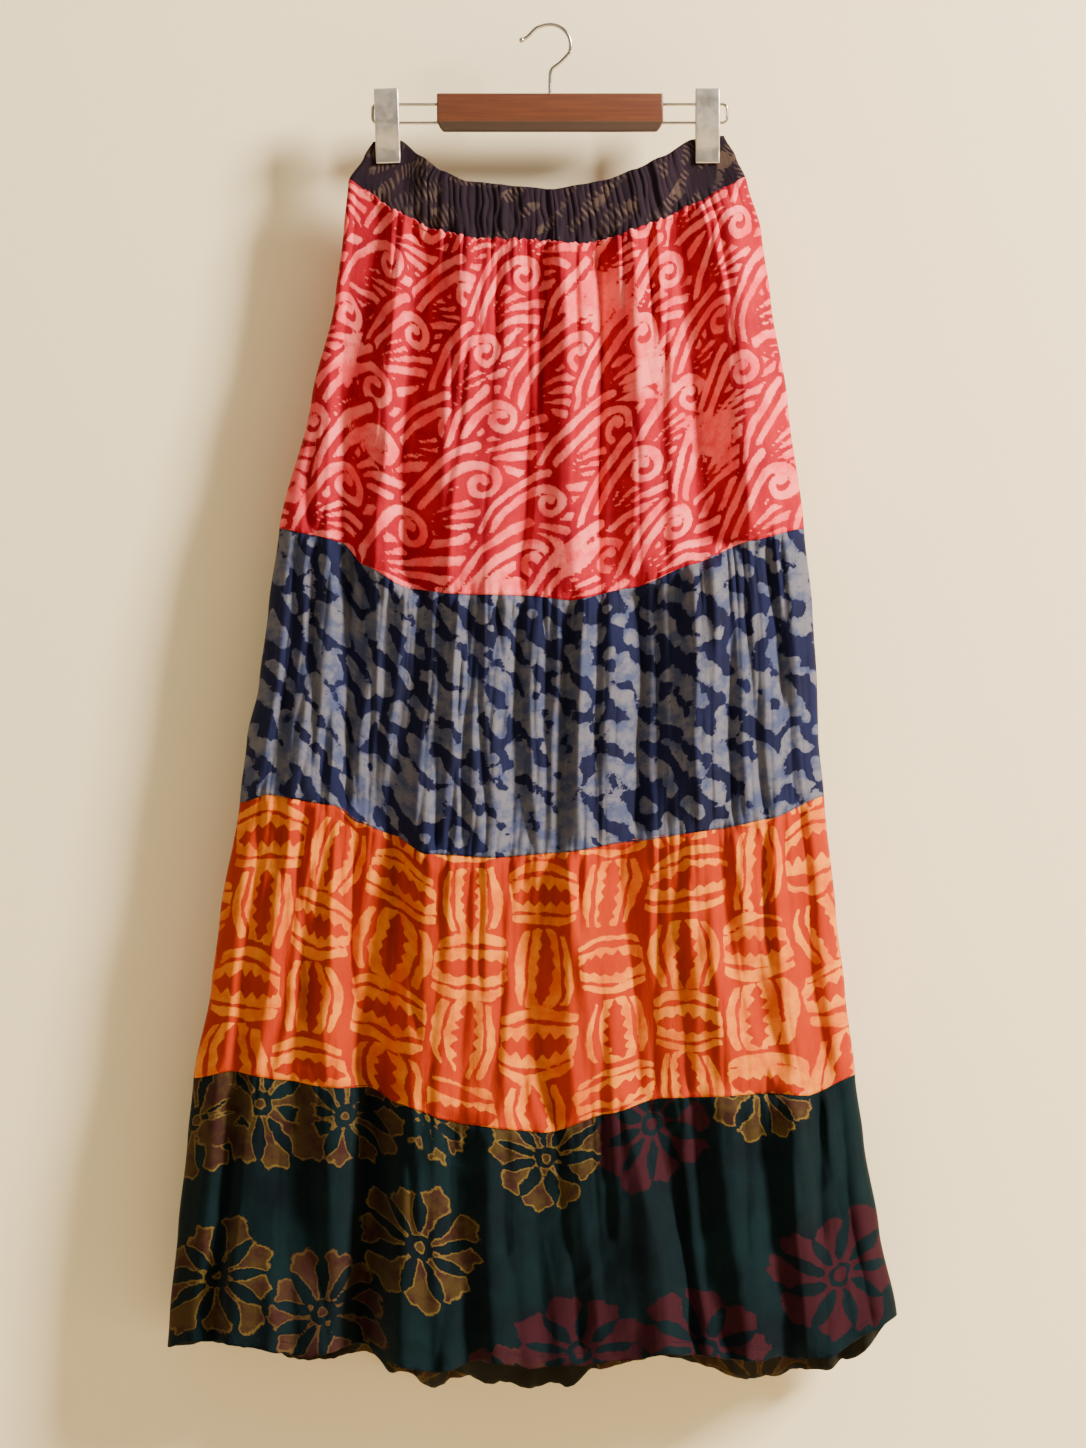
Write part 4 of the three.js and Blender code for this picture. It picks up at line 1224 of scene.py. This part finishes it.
def plasticLook():
    n = Nodes("clip_plastic")
    place = n.add("ShaderNodeTexCoord").outputs["Object"]
    n.set(Base_Color=n.mix(n.noise(place, 90), colour(190, 178, 160), colour(214, 202, 184)), Roughness=0.55)
    return n.material


def fitted(made, material, slot, *nodes):
    made.data.materials.append(material)
    if nodes:
        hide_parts(*nodes)
    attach(made, "root")
    return made


chrome = metalLook("wire", colour(196, 186, 172), 0.22, (1, 1, 1))
nickel = metalLook("clip_metal", colour(236, 222, 202), 0.38, (1, 1, 0.04))
wooden, plastic = woodLook(), plasticLook()

turns = np.radians(np.arange(-24, 109, 6))
crown = [(hanger["round"] * math.cos(t), 0, hanger["round"] * (math.sin(t) - 1) + 1.65) for t in turns]
hookPath = smoothPath(stem + crown + hookEnd, 5)
swell = np.linspace(np.pi * 0.74, 0.04, tip["rings"])  # the bead on the tip
bead = np.array(tip["at"]) + np.array(tip["ahead"]) * (tip["round"] * np.cos(swell))[:, None]
hookPath = np.concatenate([hookPath[:-4], bead])
plainWire = np.full(len(hookPath) - tip["rings"], hanger["wire"] / 2)
thick = np.concatenate([plainWire, tip["round"] * np.sin(swell)])
fitted(wireMesh("hook_wire", hookPath, thick), chrome, "wire", "hook")
fitted(stackMesh("bar_wood", barRings), wooden, "bar_wood", "bar")


def rodPath(clip):
    # a wire that leaves the bar, turns back round a clip's far side and returns
    out = math.copysign(1, clip["loop"])
    bend, upper, lower = hanger["bend"], hanger["upper"], hanger["lower"]
    bendAt = clip["loop"] - out * bend
    inside, straight = (out * hanger["inside"], 0), (bendAt - out * hanger["straight"], 0)
    quarter = np.linspace(0, np.pi / 2, 9)
    rod = [(*inside, upper), (*straight, upper)]
    rod += [(bendAt + out * bend * math.sin(t), 0, upper - bend * (1 - math.cos(t))) for t in quarter]
    rod += [(bendAt + out * bend * math.cos(t), 0, lower + bend * (1 - math.sin(t))) for t in quarter]
    return rod + [(*straight, lower), (*inside, lower)]


for side, clip in clips.items():
    rod = wireMesh(f"rod_{side}_wire", rodPath(clip), hanger["rod"] / 2)
    fitted(rod, chrome, "wire", f"rod_{side}")
    block = stackMesh(f"block_{side}", blockRings, (clip["x"], 0))
    fitted(block, plastic, "clip_plastic", f"clip_{side}_block")
    for face, facing in (("front", -1), ("back", 1)):
        made = jawMesh(f"jaw_{side}_{face}", clip, facing)
        fitted(made, nickel, "clip_metal", f"clip_{side}_jaw_{face}")
        pad = stackMesh(f"pad_{side}_{face}", padRings, (clip["x"], facing * padMiddle))
        fitted(leaned(pad, clip), plastic, "clip_plastic", f"clip_{side}_pad_{face}")
print("hanger")


# stage and lights
def paint(name, tint, rough):
    # matt paint that is clear from behind
    n = Nodes(name)
    n.set(Base_Color=tint, Roughness=rough, Specular_IOR_Level=0.1)
    behind = n.add("ShaderNodeNewGeometry").outputs["Backfacing"]
    clear = n.add("ShaderNodeBsdfTransparent").outputs[0]
    oneSided = n.add("ShaderNodeMixShader", {0: behind, 1: n.shader.outputs[0], 2: clear})
    n.tree.links.new(oneSided.outputs[0], n.tree.nodes["Material Output"].inputs[0])
    return n.material


def addPlane(name, corners, material):
    made = addMesh(name, corners, [(0, 1, 2, 3)], smooth=False)
    made.data.materials.append(material)
    return made


room = {"wall": 0.058, "floor": -1.5, "reach": 6.0, "tall": 3.0}
far, back, low, high = room["reach"], room["wall"], room["floor"], room["tall"]
ground = [(-far, -far, low), (far, -far, low), (far, far, low), (-far, far, low)]
behind = [(-far, back, low), (far, back, low), (far, back, high), (-far, back, high)]
addPlane("floor", ground, paint("floor", colour(206, 194, 170), 0.9))
addPlane("wall", behind, paint("wall", colour(254, 234, 188), 0.95))


def addLight(name, place, aim, size, power, tint):
    # an area light turned towards the place that it lights
    data = bpy.data.lights.new(name, "AREA")
    data.shape = "RECTANGLE"
    data.size, data.size_y = size
    data.energy = power
    data.color = tint
    made = bpy.data.objects.new(name, data)
    made.location = place
    made.rotation_euler = (Vector(aim) - Vector(place)).to_track_quat("-Z", "Y").to_euler()
    scene.collection.objects.link(made)


# place, aim, size in metres, watts and tint
lights = {
    "key": ((3.2, -2.0, 1.4), (0, 0, -0.55), (0.85, 1.15), 620, (1.0, 0.96, 0.91)),
    "fill": ((-2.2, -3.4, 0.6), (0, 0, -0.6), (2.2, 2.2), 13, (1.0, 0.97, 0.94)),
    "over": ((0.4, -1.6, 2.6), (0, 0, -0.6), (2.4, 1.2), 11, (1.0, 0.98, 0.95)),
}
for name, values in lights.items():
    addLight(name, *values)

# the air lights a little more from above than from below
world = bpy.data.worlds.new("world")
world.use_nodes = True
tree = world.node_tree
sky = tree.nodes["Background"]
direction = tree.nodes.new("ShaderNodeTexCoord").outputs["Generated"]
split = tree.nodes.new("ShaderNodeSeparateXYZ")
shade = tree.nodes.new("ShaderNodeMapRange")
shade.interpolation_type = "SMOOTHSTEP"
air = {"from": -0.5, "to": 0.7, "below": 0.03, "above": 0.27, "tint": (1.0, 0.95, 0.88, 1.0)}
for socket, value in enumerate((air["from"], air["to"], air["below"], air["above"]), 1):
    shade.inputs[socket].default_value = value
tree.links.new(direction, split.inputs[0])
tree.links.new(split.outputs[2], shade.inputs[0])
tree.links.new(shade.outputs[0], sky.inputs[1])
sky.inputs[0].default_value = air["tint"]
scene.world = world
print("stage")
